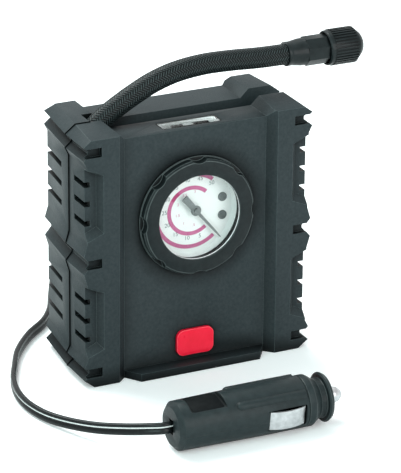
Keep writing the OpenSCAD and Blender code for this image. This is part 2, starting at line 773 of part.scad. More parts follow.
module switch_body() {
    w = button_w + 2 * (2.6 - 0.8 - close);
    color(black) difference() {
        translate([0, 0, button_z]) box([-w / 2, switch_y, 3 - button_z + wall],
            [w / 2, switch_y + switch_l, 6]);
        translate([0, 0, button_z]) rod_y(2 + run, switch_y - 1, switch_y + plunger_in + button_travel + 0.3);
    }
}

module lamp_lens() {
    color([0.85, 0.92, 0.96, 0.35]) translate([0, lamp_y, low_top - lamp_t]) difference() {
        linear_extrude(lamp_t) round_rect(lamp_w, lamp_d, 1.1);
        translate([0, 0, -0.01]) linear_extrude(lamp_t - 0.9) round_rect(lamp_w - 3, lamp_d - 3, 0.8);
    }
}

module lamp_reflector() {
    top = low_top - wall;
    color(steel) translate([0, lamp_y, 0]) difference() {
        union() {
            box([-lamp_w / 2, -lamp_d / 2 + 0.4, top - 0.8], [lamp_w / 2, lamp_d / 2 - 0.4, top]);
            box([-lamp_w / 2 + 0.8, -lamp_d / 2 + 0.8, top - reflector_h],
                [lamp_w / 2 - 0.8, lamp_d / 2 - 0.8, top]);
        }
        translate([0, 0, top]) rod_x(lamp_d / 2 - 1.3, -lamp_w / 2 + 2, lamp_w / 2 - 2);
    }
}

module lamp_bulb() {
    color([0.95, 0.96, 0.9, 0.6]) translate([0, lamp_y, bulb_z]) spun_x() polygon(
        [[0, -4], [bulb_r - 0.3, -3.6], [bulb_r, -2.8], [bulb_r, 2.8], [bulb_r - 0.3, 3.6], [0, 4]]);
}

module lamp_clips() {
    color(steel) translate([0, lamp_y, bulb_z]) for (s = [-1, 1]) translate([s * 5.9, 0, 0])
        rod_x(bulb_r - 0.35, -1.7, 1.7);
}

// ---------- pump ----------

module at_motor() {
    translate([0, motor_y, motor_z]) children();
}

module at_crank() {
    translate([0, crank_y, crank_z]) children();
}

module motor_can() {
    color(alloy) at_motor() difference() {
        union() {
            rod_x(motor_d / 2, motor_x - motor_l, motor_x);
            rod_x(5, motor_x - 0.5, motor_x + 1.5);
        }
        rod_x(motor_d / 2 - 1, motor_x - motor_l - 1, motor_x - 1.5);
        rod_x(shaft_r + run, motor_x - 2, motor_x + 3);
        for (s = [-1, 1]) translate([0, s * 8, 0]) rod_x(1.1, motor_x - 3, motor_x + 3);
    }
}

module motor_cap() {
    x = motor_x - motor_l;
    color(black) at_motor() difference() {
        union() {
            rod_x(motor_d / 2 - 1 - close, x, x + 3);
            rod_x(5, x - 2, x + 1);
        }
        rod_x(shaft_r + run, x - 3, x + 4);
        for (s = [-1, 1]) translate([0, s * 9, 0]) rod_x(1, x - 1, x + 4);
    }
}

module motor_armature() {
    x = motor_x - motor_l;
    color(steel) at_motor() {
        rod_x(shaft_r, x - 1.5, gear_x + gear_t + 1.5);
        difference() {
            rod_x(motor_d / 2 - 4, x + 9, motor_x - 6);
            for (a = [0:120:240]) rotate([a, 0, 0]) box([x + 8, -1, motor_d / 2 - 9], [motor_x - 5, 1, motor_d]);
        }
        rod_x(4, x + 4.5, x + 9);
    }
}

module drive_pinion() {
    color(brass) at_motor() slab_x(gear_x - 0.3, gear_x + gear_t + 0.8) difference() {
        rotate(90) polygon(gear_outline(pinion_n, gear_m, gear_m, 1.25 * gear_m, 0.12));
        circle(shaft_r);
    }
}

module motor_screws() {
    color(steel) at_motor() for (s = [-1, 1]) translate([0, s * 8, 0]) {
        rod_x(1, motor_x - 2.5, frame_x);
        rod_x(1.8, frame_x, frame_x + 0.7);
    }
}

module pump_frame() {
    low = wall + 0.3;
    shelf_z = cyl_z + shelf_t;
    w = 2 * cyl_r + 3;
    color(alloy) difference() {
        union() {
            slab_x(motor_x, frame_x) polygon([
                [motor_y - 12, low], [motor_y + 12, low], [motor_y + 12, motor_z + 10],
                [crank_y + w / 2, crank_z], [crank_y + w / 2, shelf_z], [crank_y - w / 2, shelf_z],
                [crank_y - w / 2, crank_z], [motor_y - 12, motor_z + 10]]);
            box([motor_x, crank_y - w / 2, cyl_z], [cyl_x + w / 2, crank_y + w / 2, shelf_z]);
        }
        at_motor() rod_x(5 + close, motor_x - 1, frame_x + 1);
        at_motor() for (s = [-1, 1]) translate([0, s * 8, 0]) rod_x(1 + close, motor_x - 1, frame_x + 1);
        at_crank() rod_x(axle_r, motor_x - 1, frame_x + 1);
        translate([cyl_x, crank_y, cyl_z - 1]) cylinder(r = cyl_r, h = shelf_t + 2);
    }
}

module crank_axle() {
    color(steel) at_crank() {
        rod_x(axle_r, motor_x, crank_face - 0.2);
        rod_x(axle_r + 1, crank_face - 1, crank_face - 0.1);
    }
}

module crank_gear() {
    r = gear_m * crank_n / 2;
    color(nylon) at_crank() difference() {
        slab_x(gear_x, crank_face) rotate(270 + 180 / crank_n)
            polygon(gear_outline(crank_n, gear_m, 0.6 * gear_m, 1.2 * gear_m, 0.12));
        rod_x(axle_r + run, gear_x - 1, crank_face + 1);
        rod_x(axle_r + 1 + close, crank_face - 1.15, crank_face + 1);
        // lightening holes
        for (a = [0:60:300]) rotate([a + 30, 0, 0]) translate([0, 0, r * 0.62])
            rod_x(2.6, gear_x - 1, crank_face + 1);
    }
}

module crank_pin() {
    color(steel) at_crank() translate([0, 0, throw]) rod_x(pin_r, crank_face + slack, rod_x + rod_t + 0.8);
}

module connecting_rod() {
    color(alloy) difference() {
        union() {
            at_crank() translate([0, 0, throw]) rod_x(pin_r + 2, rod_x, rod_x + rod_t);
            translate([0, crank_y, wrist_z]) rod_x(small_end_r, rod_x, rod_x + rod_t);
            box([rod_x + 0.8, crank_y - 1.9, crank_z + throw + 3], [rod_x + rod_t - 0.8, crank_y + 1.9, wrist_z - 3]);
            for (s = [-1, 1]) box([rod_x, crank_y - 0.7 + s * 2, crank_z + throw + 2.6],
                [rod_x + rod_t, crank_y + 0.7 + s * 2, wrist_z - 2.6]);
        }
        at_crank() translate([0, 0, throw]) rod_x(pin_r, rod_x - 1, rod_x + rod_t + 1);
        translate([0, crank_y, wrist_z]) rod_x(pin_r, rod_x - 1, rod_x + rod_t + 1);
    }
}

module wrist_pin() {
    color(steel) translate([0, crank_y, wrist_z]) rod_x(pin_r, cyl_x - bore_r + 1, cyl_x + bore_r - 1);
}

module piston() {
    groove_z = piston_top - 2.6;
    color(alloy) translate([cyl_x, crank_y, 0]) difference() {
        translate([0, 0, piston_top - piston_l]) cylinder(r = bore_r - run, h = piston_l);
        // ring groove
        translate([0, 0, groove_z]) difference() {
            cylinder(r = bore_r + 1, h = 1.4);
            translate([0, 0, -1]) cylinder(r = bore_r - 1.1, h = 4);
        }
        // room for the small end, and the wrist pin's bore
        box([-rod_t / 2 - slack, -small_end_r - slack, piston_top - piston_l - 1],
            [rod_t / 2 + slack, small_end_r + slack, wrist_z + small_end_r + slack]);
        translate([0, 0, wrist_z]) rod_x(pin_r, -bore_r - 1, bore_r + 1);
    }
}

module piston_ring() {
    groove_z = piston_top - 2.6;
    color(rubber) translate([cyl_x, crank_y, groove_z + 0.1]) difference() {
        cylinder(r = bore_r - run, h = 1.2);
        translate([0, 0, -1]) cylinder(r = bore_r - 1.1, h = 4);
    }
}

module cylinder_sleeve() {
    color(alloy) translate([cyl_x, crank_y, 0]) difference() {
        union() {
            translate([0, 0, cyl_z]) cylinder(r = cyl_r, h = cyl_top - cyl_z);
            for (z = [cyl_z + shelf_t:2.6:cyl_top - 3]) translate([0, 0, z]) cylinder(r = cyl_r + 1.5, h = 1.1);
            translate([-head_w / 2, -head_w / 2, cyl_top - 1.6]) cube([head_w, head_w, 1.6]);
        }
        translate([0, 0, cyl_z - 1]) cylinder(r = bore_r, h = cyl_top - cyl_z + 2);
        head_screw_spots() translate([0, 0, cyl_top - 4]) cylinder(r = 1, h = 6);
    }
}

module head_screw_spots() {
    for (a = [-1, 1], b = [-1, 1]) translate([a * (head_w / 2 - 1.9), b * (head_w / 2 - 1.9), 0]) children();
}

module valve_plate() {
    color(steel) translate([cyl_x, crank_y, cyl_top]) difference() {
        translate([-head_w / 2, -head_w / 2, 0]) cube([head_w, head_w, head_z - cyl_top]);
        head_screw_spots() translate([0, 0, -1]) cylinder(r = 1, h = 4);
        translate([0, 0, -1]) cylinder(r = 1.4, h = 4);
    }
}

module cylinder_head() {
    color(alloy) difference() {
        union() {
            translate([cyl_x, crank_y, head_z]) difference() {
                translate([-head_w / 2, -head_w / 2, 0]) cube([head_w, head_w, head_h]);
                translate([0, 0, -1]) cylinder(r = 5, h = 5);
                head_screw_spots() translate([0, 0, -1]) cylinder(r = 1, h = head_h + 2);
            }
            translate([0, crank_y, barb_z]) {
                rod_x(2.4, barb_x, cyl_x - head_w / 2 + 0.5);
                for (k = [0:1]) rod_x(2.2, barb_x + 0.5 + 2 * k, barb_x + 2 + 2 * k, 2.9);
            }
        }
        translate([0, crank_y, barb_z]) rod_x(1.4, barb_x - 1, cyl_x);
    }
}

module head_screws() {
    color(steel) translate([cyl_x, crank_y, 0]) head_screw_spots() {
        translate([0, 0, cyl_top - 1.6]) cylinder(r = 1, h = head_z + head_h - cyl_top + 1.6);
        translate([0, 0, head_z + head_h]) cylinder(r = 1.8, h = 1.2);
    }
}

// Plain tube from the head to the elbow, behind the gauge
module air_tube() {
    x = elbow_c[0];
    path = [[barb_x - 0.1, crank_y, barb_z], [barb_x - 7, crank_y, barb_z], [x + 22, crank_y - 0.6, barb_z],
        [x + 12, crank_y - 3, barb_z], [x + 6, hose_y + 1.6, barb_z + 0.3], [x + 2, hose_y + 0.4, barb_z + 1.8],
        [x + 0.3, hose_y, barb_z + 4], [x, hose_y, elbow_low - 6], [x, hose_y, elbow_low]];
    color(rubber) sweep_free(path, circle_section(2.8, 8));
}

// Sweep for a path that may run straight up
module sweep_free(path, section) {
    n = len(section);
    m = len(path);
    function frame_ring(i) = let (t = heading(path, i), s = unit(cross(t, [0.3, 1, 0])), u = cross(s, t))
        [for (q = section) path[i] + q[0] * s + q[1] * u];
    polyhedron(
        [for (i = [0:m - 1]) each frame_ring(i)],
        [[for (k = [0:n - 1]) k], [for (k = [n - 1:-1:0]) (m - 1) * n + k],
            for (i = [0:m - 2], k = [0:n - 1]) each let (a = i * n + k, b = i * n + (k + 1) % n)
                [[a, a + n, b + n], [a, b + n, b]]]);
}

// Brass elbow under the root of the hose
module hose_elbow() {
    z1 = elbow_low;
    color(brass) translate([elbow_c[0], hose_y, 0]) {
        translate([0, 0, elbow_c[1]]) rotate([0, 90 - root_deg, 0]) cylinder(r = hose_d / 2 - 0.5, h = elbow_reach);
        translate([0, 0, elbow_c[1]]) sphere(r = hose_d / 2 - 0.5);
        translate([0, 0, z1]) cylinder(r = 2.6, h = elbow_c[1] - z1);
        translate([0, 0, z1 + 2.5]) cylinder(r = hose_d / 2 - 0.5, h = elbow_c[1] - z1 - 2.5);
    }
}

// ---------- hose and chuck ----------

module hose() {
    color(rubber) sweep([for (p = hose_route) [p[0], hose_y, p[1]]], circle_section(hose_d / 2, 12));
}

module at_chuck() {
    translate([0, hose_y, sleeve_z]) children();
}

module hose_sleeve() {
    x = sleeve_x;
    color(black) at_chuck() difference() {
        union() {
            spun_x() polygon([[0, x], [hose_d / 2 + 0.7, x], [hose_d / 2 + 0.7, x + 1.4], [neck_r, x + 1.8],
                [sleeve_r, x + 6.5], [sleeve_r, x + 8.6], [0, x + 8.6]]);
            translate([x + 8.6, 0, 0]) rotate([0, 90, 0]) rotate([0, 0, 22.5])
                cylinder(r = sleeve_r + 0.5, h = sleeve_l - 8.6, $fn = 8);
            rod_x(shank_r, x + sleeve_l - 0.5, shank_x + shank_t);
            rod_x(shank_r + 1.4, shank_x, shank_x + shank_t);
        }
        rod_x(1.6, x + 6, shank_x + shank_t + 1);
    }
}

// The chuck turns on the sleeve's shank, held by the shank's end flange
module valve_chuck() {
    x = chuck_x;
    r = chuck_d / 2;
    color(black) at_chuck() difference() {
        union() {
            spun_x() polygon([[0, x], [r - 1, x], [r, x + 1], [r, x + chuck_l * 0.7],
                [r - 0.8, x + chuck_l - 2.6], [r - 2.4, x + chuck_l - 0.8], [r - 3.6, x + chuck_l], [0, x + chuck_l]]);
            slab_x(x + 2.6, x + chuck_l * 0.78) for (k = [0:chuck_ribs - 1]) rotate(360 * k / chuck_ribs)
                translate([r, 0]) square([0.7, 0.6], center = true);
        }
        // socket round the sleeve, the hole its shank turns in, and room for the flange
        rod_x(sleeve_r + 1, x - 1, web_x - 1.2);
        rod_x(shank_r + run, x, web_x + 1);
        rod_x(shank_r + 1.6, web_x, shank_x + shank_t + 0.3);
        // threaded bore for the valve, and the wider seat of its seal
        rod_x(valve_r, thread_x - 1, x + chuck_l + 1);
        rod_x(seat_r, shank_x, thread_x);
    }
}

module chuck_seal() {
    color(rubber) at_chuck() difference() {
        rod_x(seat_r - 0.05, seal_x, seal_x + 1.6);
        rod_x(1.5, seal_x - 1, seal_x + 3);
    }
}

module chuck_pin() {
    x = shank_x + shank_t;
    color(brass) at_chuck() {
        rod_x(1, x, seal_x + 3.2);
        rod_x(1.9, x, x + 0.8);
    }
}

// ---------- lead ----------

// Grommet through the rear post, with a flange inside and a ribbed tail outside
module cord_boot() {
    y1 = tail_route[0][1];
    pitch = (y1 - rear_y - 4) / 4;
    color(rubber) translate([boot_x, 0, boot_z]) {
        difference() {
            rod_y(boot_r, rear_y, y1, boot_tip_r);
            for (k = [0:3]) translate([0, rear_y + 2.6 + k * pitch, 0]) difference() {
                rod_y(boot_r + 1, 0, 1.5);
                rod_y(boot_tip_r - 0.5, -1, 3);
            }
        }
        rod_y(boot_neck, cavity_rear, rear_y);
        rod_y(boot_r - 0.4, cavity_rear - 1.6, cavity_rear);
    }
}

module cord_tail() {
    color(rubber) sweep(tail_route, twin_section());
}

module cord_coil() {
    color(rubber) sweep(coil_path(), coil_section());
}

// Two flat ties round the coil, sized by the turns that pass at their own angle
module cord_tie() {
    top = coil_z + coil_step + cord_w / 2 + 0.2;
    low = coil_z - cord_w / 2 - 0.2;
    color(black) for (a = [75, 255]) translate([coil_c[0], coil_c[1], 0]) rotate([0, 0, a]) {
        depths = [for (t = [(a - coil_from) / 360:1:coil_last]) coil_in(t)];
        lo = coil_out - coil_pitch * max(depths) - cord_t / 2 - 0.8;
        hi = coil_out - coil_pitch * min(depths) + cord_t / 2 + 0.2;
        difference() {
            box([lo - tie_t, -2, low - tie_t], [hi + tie_t, 2, top + tie_t]);
            box([lo, -3, low], [hi, 3, top]);
        }
    }
}

module cord_lead() {
    color(rubber) sweep(lead_path(), twin_section());
}

// ---------- plug ----------

module at_plug() {
    translate([0, plug_y, plug_z]) rotate([plug_roll, 0, 0]) children();
}

module plug_barrel() {
    difference() {
        union() {
            spun_x() polygon([[0, plug_x], [plug_rear_r - 2, plug_x], [plug_rear_r, plug_x + 1.8],
                [plug_r, cap_x - 20], [plug_r, cap_x], [0, cap_x]]);
            // long round-ended ribs up the sides
            for (s = [-1, 1]) rotate([s * rib_deg, 0, 0]) translate([0, s * (plug_r - rib_r + 0.8), 0]) {
                rod_x(rib_r, cap_x - rib_l, cap_x - 0.6);
                translate([cap_x - rib_l, 0, 0]) sphere(r = rib_r);
            }
        }
        rod_x(plug_cavity, plug_x + 7, cap_x - spigot_l - slack);
        rod_x(spigot_r, cap_x - spigot_l - 1, cap_x + 1);
        // slot where the lead goes in
        rotate([-plug_roll, 0, 0]) box([plug_x - 1, -cord_t / 2 - slack, -cord_w / 2 - 0.6],
            [plug_x + slot_in, cord_t / 2 + slack, cord_w / 2 + 0.6]);
        // flat recess on top
        box([plug_x + 5.7, -plug_r, plug_r - 2.2], [plug_x + 20.9, plug_r, plug_r + 2]);
        // windows of the side contacts
        for (s = [-1, 1]) translate([contact_mid, s * plug_r, 0])
            box([-window_l / 2, -4, -window_w / 2], [window_l / 2, 4, window_w / 2]);
    }
}

module plug_shell_upper() {
    color(black) at_plug() intersection() {
        plug_barrel();
        box([plug_x - 1, -20, 0], [cap_x + 2, 20, 20]);
    }
}

module plug_shell_lower() {
    color(black) at_plug() intersection() {
        plug_barrel();
        box([plug_x - 1, -20, -20], [cap_x + 2, 20, 0]);
    }
}

// Sprung side contact, bowed out of its window; side is -1 in front and 1 at the back
module plug_contact(side) {
    z = window_w / 2 - 0.5;
    color(steel) at_plug() translate([contact_mid, side * (plug_r + 0.4 - contact_r - 0.6), 0]) intersection() {
        translate([0, 0, -z]) difference() {
            cylinder(r = contact_r + 0.6, h = 2 * z, $fn = 96);
            translate([0, 0, -1]) cylinder(r = contact_r, h = 2 * z + 2, $fn = 96);
        }
        translate([0, side * contact_r, 0]) cube([window_l - 1.2, 8, 20], center = true);
    }
}

module plug_contact_front() {
    plug_contact(-1);
}

module plug_contact_back() {
    plug_contact(1);
}

module plug_cap() {
    x = cap_x;
    color(black) translate([0, plug_y, plug_z]) difference() {
        union() {
            spun_x() polygon([[0, x + 0.3], [plug_r - 0.3, x + 0.3], [plug_r, x + 0.6], [plug_r, x + collar_l],
                [plug_r - 2.4, x + collar_l + neck_slope], [plug_r - 2.4, disc_x], [plug_r - 0.9, disc_x + 0.4],
                [plug_r - 0.3, disc_x + 1], [plug_r - 1, disc_x + disc_t - 0.3],
                [plug_r - 2.4, disc_x + disc_t], [0, disc_x + disc_t]]);
            rod_x(spigot_r - run, x - spigot_l, x + 1);
        }
        rod_x(tip_r + tip_flange + close, x - spigot_l - 1, tip_x - nose_t);
        rod_x(tip_r + run, x, tip_x + 1);
    }
}

// Sprung centre contact; its flange stops behind the nose
module plug_tip() {
    x = tip_x;
    color(steel) translate([0, plug_y, plug_z]) spun_x() polygon([[0, tip_back], [tip_r + tip_flange, tip_back],
        [tip_r + tip_flange, tip_back + 1.6], [tip_r, tip_back + 1.6], [tip_r, x + tip_l - 3.8],
        [tip_r - 0.5, x + tip_l - 2], [tip_r - 1.8, x + tip_l - 0.5], [0, x + tip_l]]);
}

module plug_fuse() {
    color([0.85, 0.9, 0.92, 0.5]) translate([0, plug_y, plug_z]) rod_x(fuse_r, tip_back - fuse_l, tip_back);
}

// Spring between the barrel's rear wall and the fuse, short of the fuse by the tip's travel
module plug_spring() {
    x0 = plug_x + 7.6;
    x1 = tip_back - fuse_l - tip_travel - 0.8;
    path = [for (k = [0:60]) let (a = 30 * k) [x0 + (x1 - x0) * k / 60, plug_y + 2.4 * cos(a), plug_z + 2.4 * sin(a)]];
    color(steel) sweep_free(path, circle_section(0.4, 6));
}

// ---------- wiring ----------

// Leads inside: inlet to switch, switch to motor, and switch to lamp
module wiring() {
    back = switch_y + switch_l + wire_r + 0.1;
    inlet = [boot_x, cavity_rear - 1.7, boot_z];
    cap = motor_x - motor_l - 0.1;
    side = motor_y - 9;
    lamp_low = low_top - wall - reflector_h - 0.1;
    color(red) {
        wire([inlet, inlet - [0, 8, 3], [33, 4, 17], [30, -4, 9], [26, back, 4.6],
            [12, back, 4.6], [4, back, 8], [4, back - 0.05, 11]]);
        wire([[-3, back, 11], [-4, back, 7], [-13, back, 5], [-26, back - 0.6, 5.5], [-33, back + 0.9, 9],
            [cap - 4.4, side, motor_z - 3], [cap - 3.4, side, motor_z], [cap, side, motor_z]]);
        wire([[-7, back, 12], [-13, back, 13], [-20, back - 1, 17], [-29, back - 3, 28],
            [-31.5, back - 4, 45], [-31.5, back - 4, lamp_low - 2.9], [-26, lamp_y, lamp_low - 1.5],
            [-12, lamp_y, lamp_low - 1.7], [-9, lamp_y, lamp_low - 1.3], [-9, lamp_y, lamp_low]]);
    }
}

module wire(path) {
    sweep_free(path, circle_section(wire_r, 6));
}

front_shell();
rear_shell();
case_screws();
gauge_bezel();
lens_rim();
gauge_lens();
gauge_case();
gauge_dial();
dial_screws();
gauge_pointer();
gauge_block();
bourdon_tube();
sector_gear();
power_button();
switch_body();
lamp_lens();
lamp_reflector();
lamp_bulb();
lamp_clips();
motor_can();
motor_cap();
motor_armature();
drive_pinion();
motor_screws();
pump_frame();
crank_axle();
crank_gear();
crank_pin();
connecting_rod();
wrist_pin();
piston();
piston_ring();
cylinder_sleeve();  // cylinder
valve_plate();
cylinder_head();
head_screws();
air_tube();
hose_elbow();
hose();
hose_sleeve();
valve_chuck();
chuck_seal();
chuck_pin();
cord_boot();
cord_tail();
cord_coil();
cord_tie();
cord_lead();
plug_shell_upper();
plug_shell_lower();
plug_contact_front();
plug_contact_back();
plug_cap();
plug_tip();
plug_spring();
plug_fuse();
wiring();
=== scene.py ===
"""Portable tire inflator: finish of every piece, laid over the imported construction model."""
from math import cos, floor, pi, radians, sin

import bmesh
import bpy
from mathutils import Matrix, Vector


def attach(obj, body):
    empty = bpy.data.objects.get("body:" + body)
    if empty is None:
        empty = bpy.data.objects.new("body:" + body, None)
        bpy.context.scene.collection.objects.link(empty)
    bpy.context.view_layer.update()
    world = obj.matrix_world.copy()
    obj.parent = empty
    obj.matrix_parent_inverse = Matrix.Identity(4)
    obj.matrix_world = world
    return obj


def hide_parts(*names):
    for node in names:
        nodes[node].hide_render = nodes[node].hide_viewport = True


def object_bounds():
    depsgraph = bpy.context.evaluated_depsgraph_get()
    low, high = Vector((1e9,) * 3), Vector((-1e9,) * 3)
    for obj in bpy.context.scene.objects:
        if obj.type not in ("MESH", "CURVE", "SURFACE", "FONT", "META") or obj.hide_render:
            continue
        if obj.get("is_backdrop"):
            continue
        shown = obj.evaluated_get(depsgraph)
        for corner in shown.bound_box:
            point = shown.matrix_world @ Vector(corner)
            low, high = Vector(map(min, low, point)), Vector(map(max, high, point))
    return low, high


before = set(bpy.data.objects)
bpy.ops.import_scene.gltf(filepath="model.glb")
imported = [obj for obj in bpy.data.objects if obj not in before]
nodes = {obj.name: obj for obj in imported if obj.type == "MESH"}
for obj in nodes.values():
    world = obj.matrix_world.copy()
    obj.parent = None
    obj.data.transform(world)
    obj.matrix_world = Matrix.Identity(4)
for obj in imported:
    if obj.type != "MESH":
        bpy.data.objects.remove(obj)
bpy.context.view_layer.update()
MM = 0.001

# ---------------------------------------------------------------------------
# Studio: the inflator stands on a pale table among three soft lamps, to its left, overhead and in front,
# and is seen from its front left, a little above the dial. All round it is plain white.
look_az, look_el, look_roll = radians(25.913), radians(22.244), radians(-0.477)
look_far, look_right, look_up, look_step, frame_rows = 3332.6, 20.279, 130.582, 0.418, 473
look_seam, look_foot = -3.9, -17.2
right = Vector((cos(look_az), -sin(look_az), 0))
up = Vector((sin(look_az) * sin(look_el), cos(look_az) * sin(look_el), cos(look_el)))
ahead = Vector((sin(look_az) * cos(look_el), cos(look_az) * cos(look_el), -sin(look_el)))
eye_mm = ((look_right * right + look_up * up - look_far * ahead) * look_step
          + Vector((0, look_seam, look_foot * look_step)))
cam = bpy.data.objects.new("camera", bpy.data.cameras.new("camera"))
bpy.context.scene.collection.objects.link(cam)
cam.data.sensor_width = 36
cam.data.lens = cam.data.sensor_width * look_far / frame_rows
cam.data.clip_start, cam.data.clip_end = 0.1, 20
turned = (right * cos(look_roll) - up * sin(look_roll),
          right * sin(look_roll) + up * cos(look_roll), -ahead)
cam.matrix_world = Matrix.Translation(eye_mm * MM) @ Matrix(turned).transposed().to_4x4()
bpy.context.scene.camera = cam


def new_material(name):
    """An empty node material: its node maker, its linker and its output."""
    mat = bpy.data.materials.new(name)
    mat.use_nodes = True
    mat.node_tree.nodes.clear()
    out = mat.node_tree.nodes.new("ShaderNodeOutputMaterial")
    return mat, mat.node_tree.nodes, mat.node_tree.links, out


def seen_white(tree_nodes, links, lit):
    """A mixer whose second shader is what the eye and the mirrors see, and lit what lights the object."""
    path = tree_nodes.new("ShaderNodeLightPath")
    eye_or_gloss = tree_nodes.new("ShaderNodeMath")
    eye_or_gloss.operation = "MAXIMUM"
    links.new(path.outputs["Is Camera Ray"], eye_or_gloss.inputs[0])
    links.new(path.outputs["Is Glossy Ray"], eye_or_gloss.inputs[1])
    any_seen = tree_nodes.new("ShaderNodeMath")
    any_seen.operation = "MAXIMUM"
    links.new(eye_or_gloss.outputs[0], any_seen.inputs[0])
    links.new(path.outputs["Is Transmission Ray"], any_seen.inputs[1])
    mix = tree_nodes.new("ShaderNodeMixShader")
    links.new(any_seen.outputs[0], mix.inputs[0])
    links.new(lit, mix.inputs[1])
    return mix


world = bpy.data.worlds.new("studio")
bpy.context.scene.world = world
world.use_nodes = True
wn, wl = world.node_tree.nodes, world.node_tree.links
wn.clear()
soft_fill = wn.new("ShaderNodeBackground")
soft_fill.inputs["Color"].default_value = (0.9, 0.98, 1.0, 1)
soft_fill.inputs["Strength"].default_value = 0.56
white_wall = wn.new("ShaderNodeBackground")
white_wall.inputs["Color"].default_value = (1, 1, 1, 1)
white_wall.inputs["Strength"].default_value = 1.0
w_mix = seen_white(wn, wl, soft_fill.outputs[0])
wl.new(white_wall.outputs[0], w_mix.inputs[2])
w_out = wn.new("ShaderNodeOutputWorld")
wl.new(w_mix.outputs[0], w_out.inputs["Surface"])

table_size, table_drop = 6, 0.0002
bpy.ops.mesh.primitive_plane_add(size=table_size, location=(0, 0, -table_drop))
table = bpy.context.object
table.name = "table"
t_mat, tn, tl, t_out = new_material("pale_table")
t_face = tn.new("ShaderNodeBsdfPrincipled")
t_face.inputs["Base Color"].default_value = (0.93, 0.93, 0.93, 1)
t_face.inputs["Roughness"].default_value = 0.9
t_face.inputs["Specular IOR Level"].default_value = 0.1
t_glow = tn.new("ShaderNodeEmission")
t_glow.inputs["Strength"].default_value = 0.2
t_path = tn.new("ShaderNodeLightPath")
t_none = tn.new("ShaderNodeEmission")
t_none.inputs["Strength"].default_value = 0.0
t_pick = tn.new("ShaderNodeMixShader")
tl.new(t_path.outputs["Is Camera Ray"], t_pick.inputs[0])
tl.new(t_none.outputs[0], t_pick.inputs[1])
tl.new(t_glow.outputs[0], t_pick.inputs[2])
t_add = tn.new("ShaderNodeAddShader")
tl.new(t_face.outputs[0], t_add.inputs[0])
tl.new(t_pick.outputs[0], t_add.inputs[1])
tl.new(t_add.outputs[0], t_out.inputs["Surface"])
table.data.materials.append(t_mat)
table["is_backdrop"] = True


def soft_lamp(name, place, size, power, tint):
    """A square soft lamp at a place in metres, turned to the middle of the object."""
    light = bpy.data.lights.new(name, "AREA")
    light.shape, light.size, light.energy, light.color = "SQUARE", size, power, tint
    lamp = bpy.data.objects.new(name, light)
    bpy.context.scene.collection.objects.link(lamp)
    lamp.location = place
    lamp.rotation_mode = "QUATERNION"
    lamp.rotation_quaternion = (Vector((0, 0, 0.05)) - Vector(place)).to_track_quat("-Z", "Y")


soft_lamp("window_left", (-0.9, -0.95, 0.9), 0.9, 12, (0.72, 1.0, 0.97))
soft_lamp("overhead", (-0.25, 0.75, 1.4), 1.0, 34, (0.93, 1, 0.99))
soft_lamp("front_fill", (0.4, -1.4, 0.6), 0.9, 10, (1, 0.99, 0.99))
bpy.context.scene.view_settings.view_transform = "Standard"

# ---------------------------------------------------------------------------
# Air hose: a rubber tube in a woven black nylon sheath, 8.8 mm over the weave.
# It rises out of the channel between the shells, bends to the right and lies level over the top.
hose_d, hose_y, hose_step = 8.8, 0.8, 0.26
hose_route = [(-38.4, 100.8), (-35.6, 104.1), (-32, 107.1), (-27, 110.4), (-19, 114.9), (-10, 119.1),
              (0, 122), (12, 123.4), (24, 123.3), (37, 122.6), (46, 122.4), (49.5, 122.4)]


def smooth_path(points, step):
    """Points on a smooth curve through the given ones, about one step apart; all in millimetres."""
    pts = [Vector(p) for p in points]
    ends = [pts[0] * 2 - pts[1]] + pts + [pts[-1] * 2 - pts[-2]]
    made = [pts[0].copy()]
    for k in range(1, len(ends) - 2):
        p0, p1, p2, p3 = ends[k - 1:k + 3]
        count = max(1, round((p2 - p1).length / step))
        m1 = (p2 - p0) * ((p2 - p1).length / max((p1 - p0).length + (p2 - p1).length, 1e-6))
        m2 = (p3 - p1) * ((p2 - p1).length / max((p2 - p1).length + (p3 - p2).length, 1e-6))
        for i in range(1, count + 1):
            t = i / count
            made.append(p1 * (2 * t**3 - 3 * t**2 + 1) + m1 * (t**3 - 2 * t**2 + t)
                        + p2 * (3 * t**2 - 2 * t**3) + m2 * (t**3 - t**2))
    return made


def tube(name, path, section_at):
    """A capped tube along path, in millimetres; section_at(length so far) gives its (side, up) outline."""
    bm = bmesh.new()
    rings, run = [], 0.0
    for i, p in enumerate(path):
        way = (path[min(i + 1, len(path) - 1)] - path[max(i - 1, 0)]).normalized()
        side = way.cross(Vector((0, 0, 1))).normalized()
        rise = side.cross(way)
        run += (p - path[i - 1]).length if i else 0
        rings.append([bm.verts.new((p + side * a + rise * b) * MM) for a, b in section_at(run)])
    n = len(rings[0])
    for low, high in zip(rings, rings[1:]):
        for k in range(n):
            bm.faces.new((low[k], high[k], high[(k + 1) % n], low[(k + 1) % n]))
    bm.faces.new(rings[0])
    bm.faces.new(list(reversed(rings[-1])))
    bmesh.ops.recalc_face_normals(bm, faces=bm.faces)
    mesh = bpy.data.meshes.new(name)
    bm.to_mesh(mesh)
    bm.free()
    for f in mesh.polygons:
        f.use_smooth = True
    piece = bpy.data.objects.new(name, mesh)
    bpy.context.scene.collection.objects.link(piece)
    return piece


braid_strands, braid_rise, braid_pitch = 16, 0.4, 1.15
strand_round, strand_under = 0.7, 0.45
braid_around = 128


def braid_high(turn, run):
    """Height of the weave, 0 to 1: two sets of strands cross, each over two and under two."""
    u = braid_strands * turn + run / braid_pitch
    v = braid_strands * turn - run / braid_pitch
    over = (floor(u) + floor(v)) % 4 < 2
    one, two = abs(sin(pi * u)) ** strand_round, abs(sin(pi * v)) ** strand_round
    return max(one * (1 if over else strand_under), two * (strand_under if over else 1))


def braid_section(run):
    """Outline of the sheath at a length along the hose."""
    turns = [k / braid_around for k in range(braid_around)]
    radii = [hose_d / 2 - braid_rise * (1 - braid_high(t, run)) for t in turns]
    return [(r * cos(2 * pi * t), r * sin(2 * pi * t)) for t, r in zip(turns, radii)]


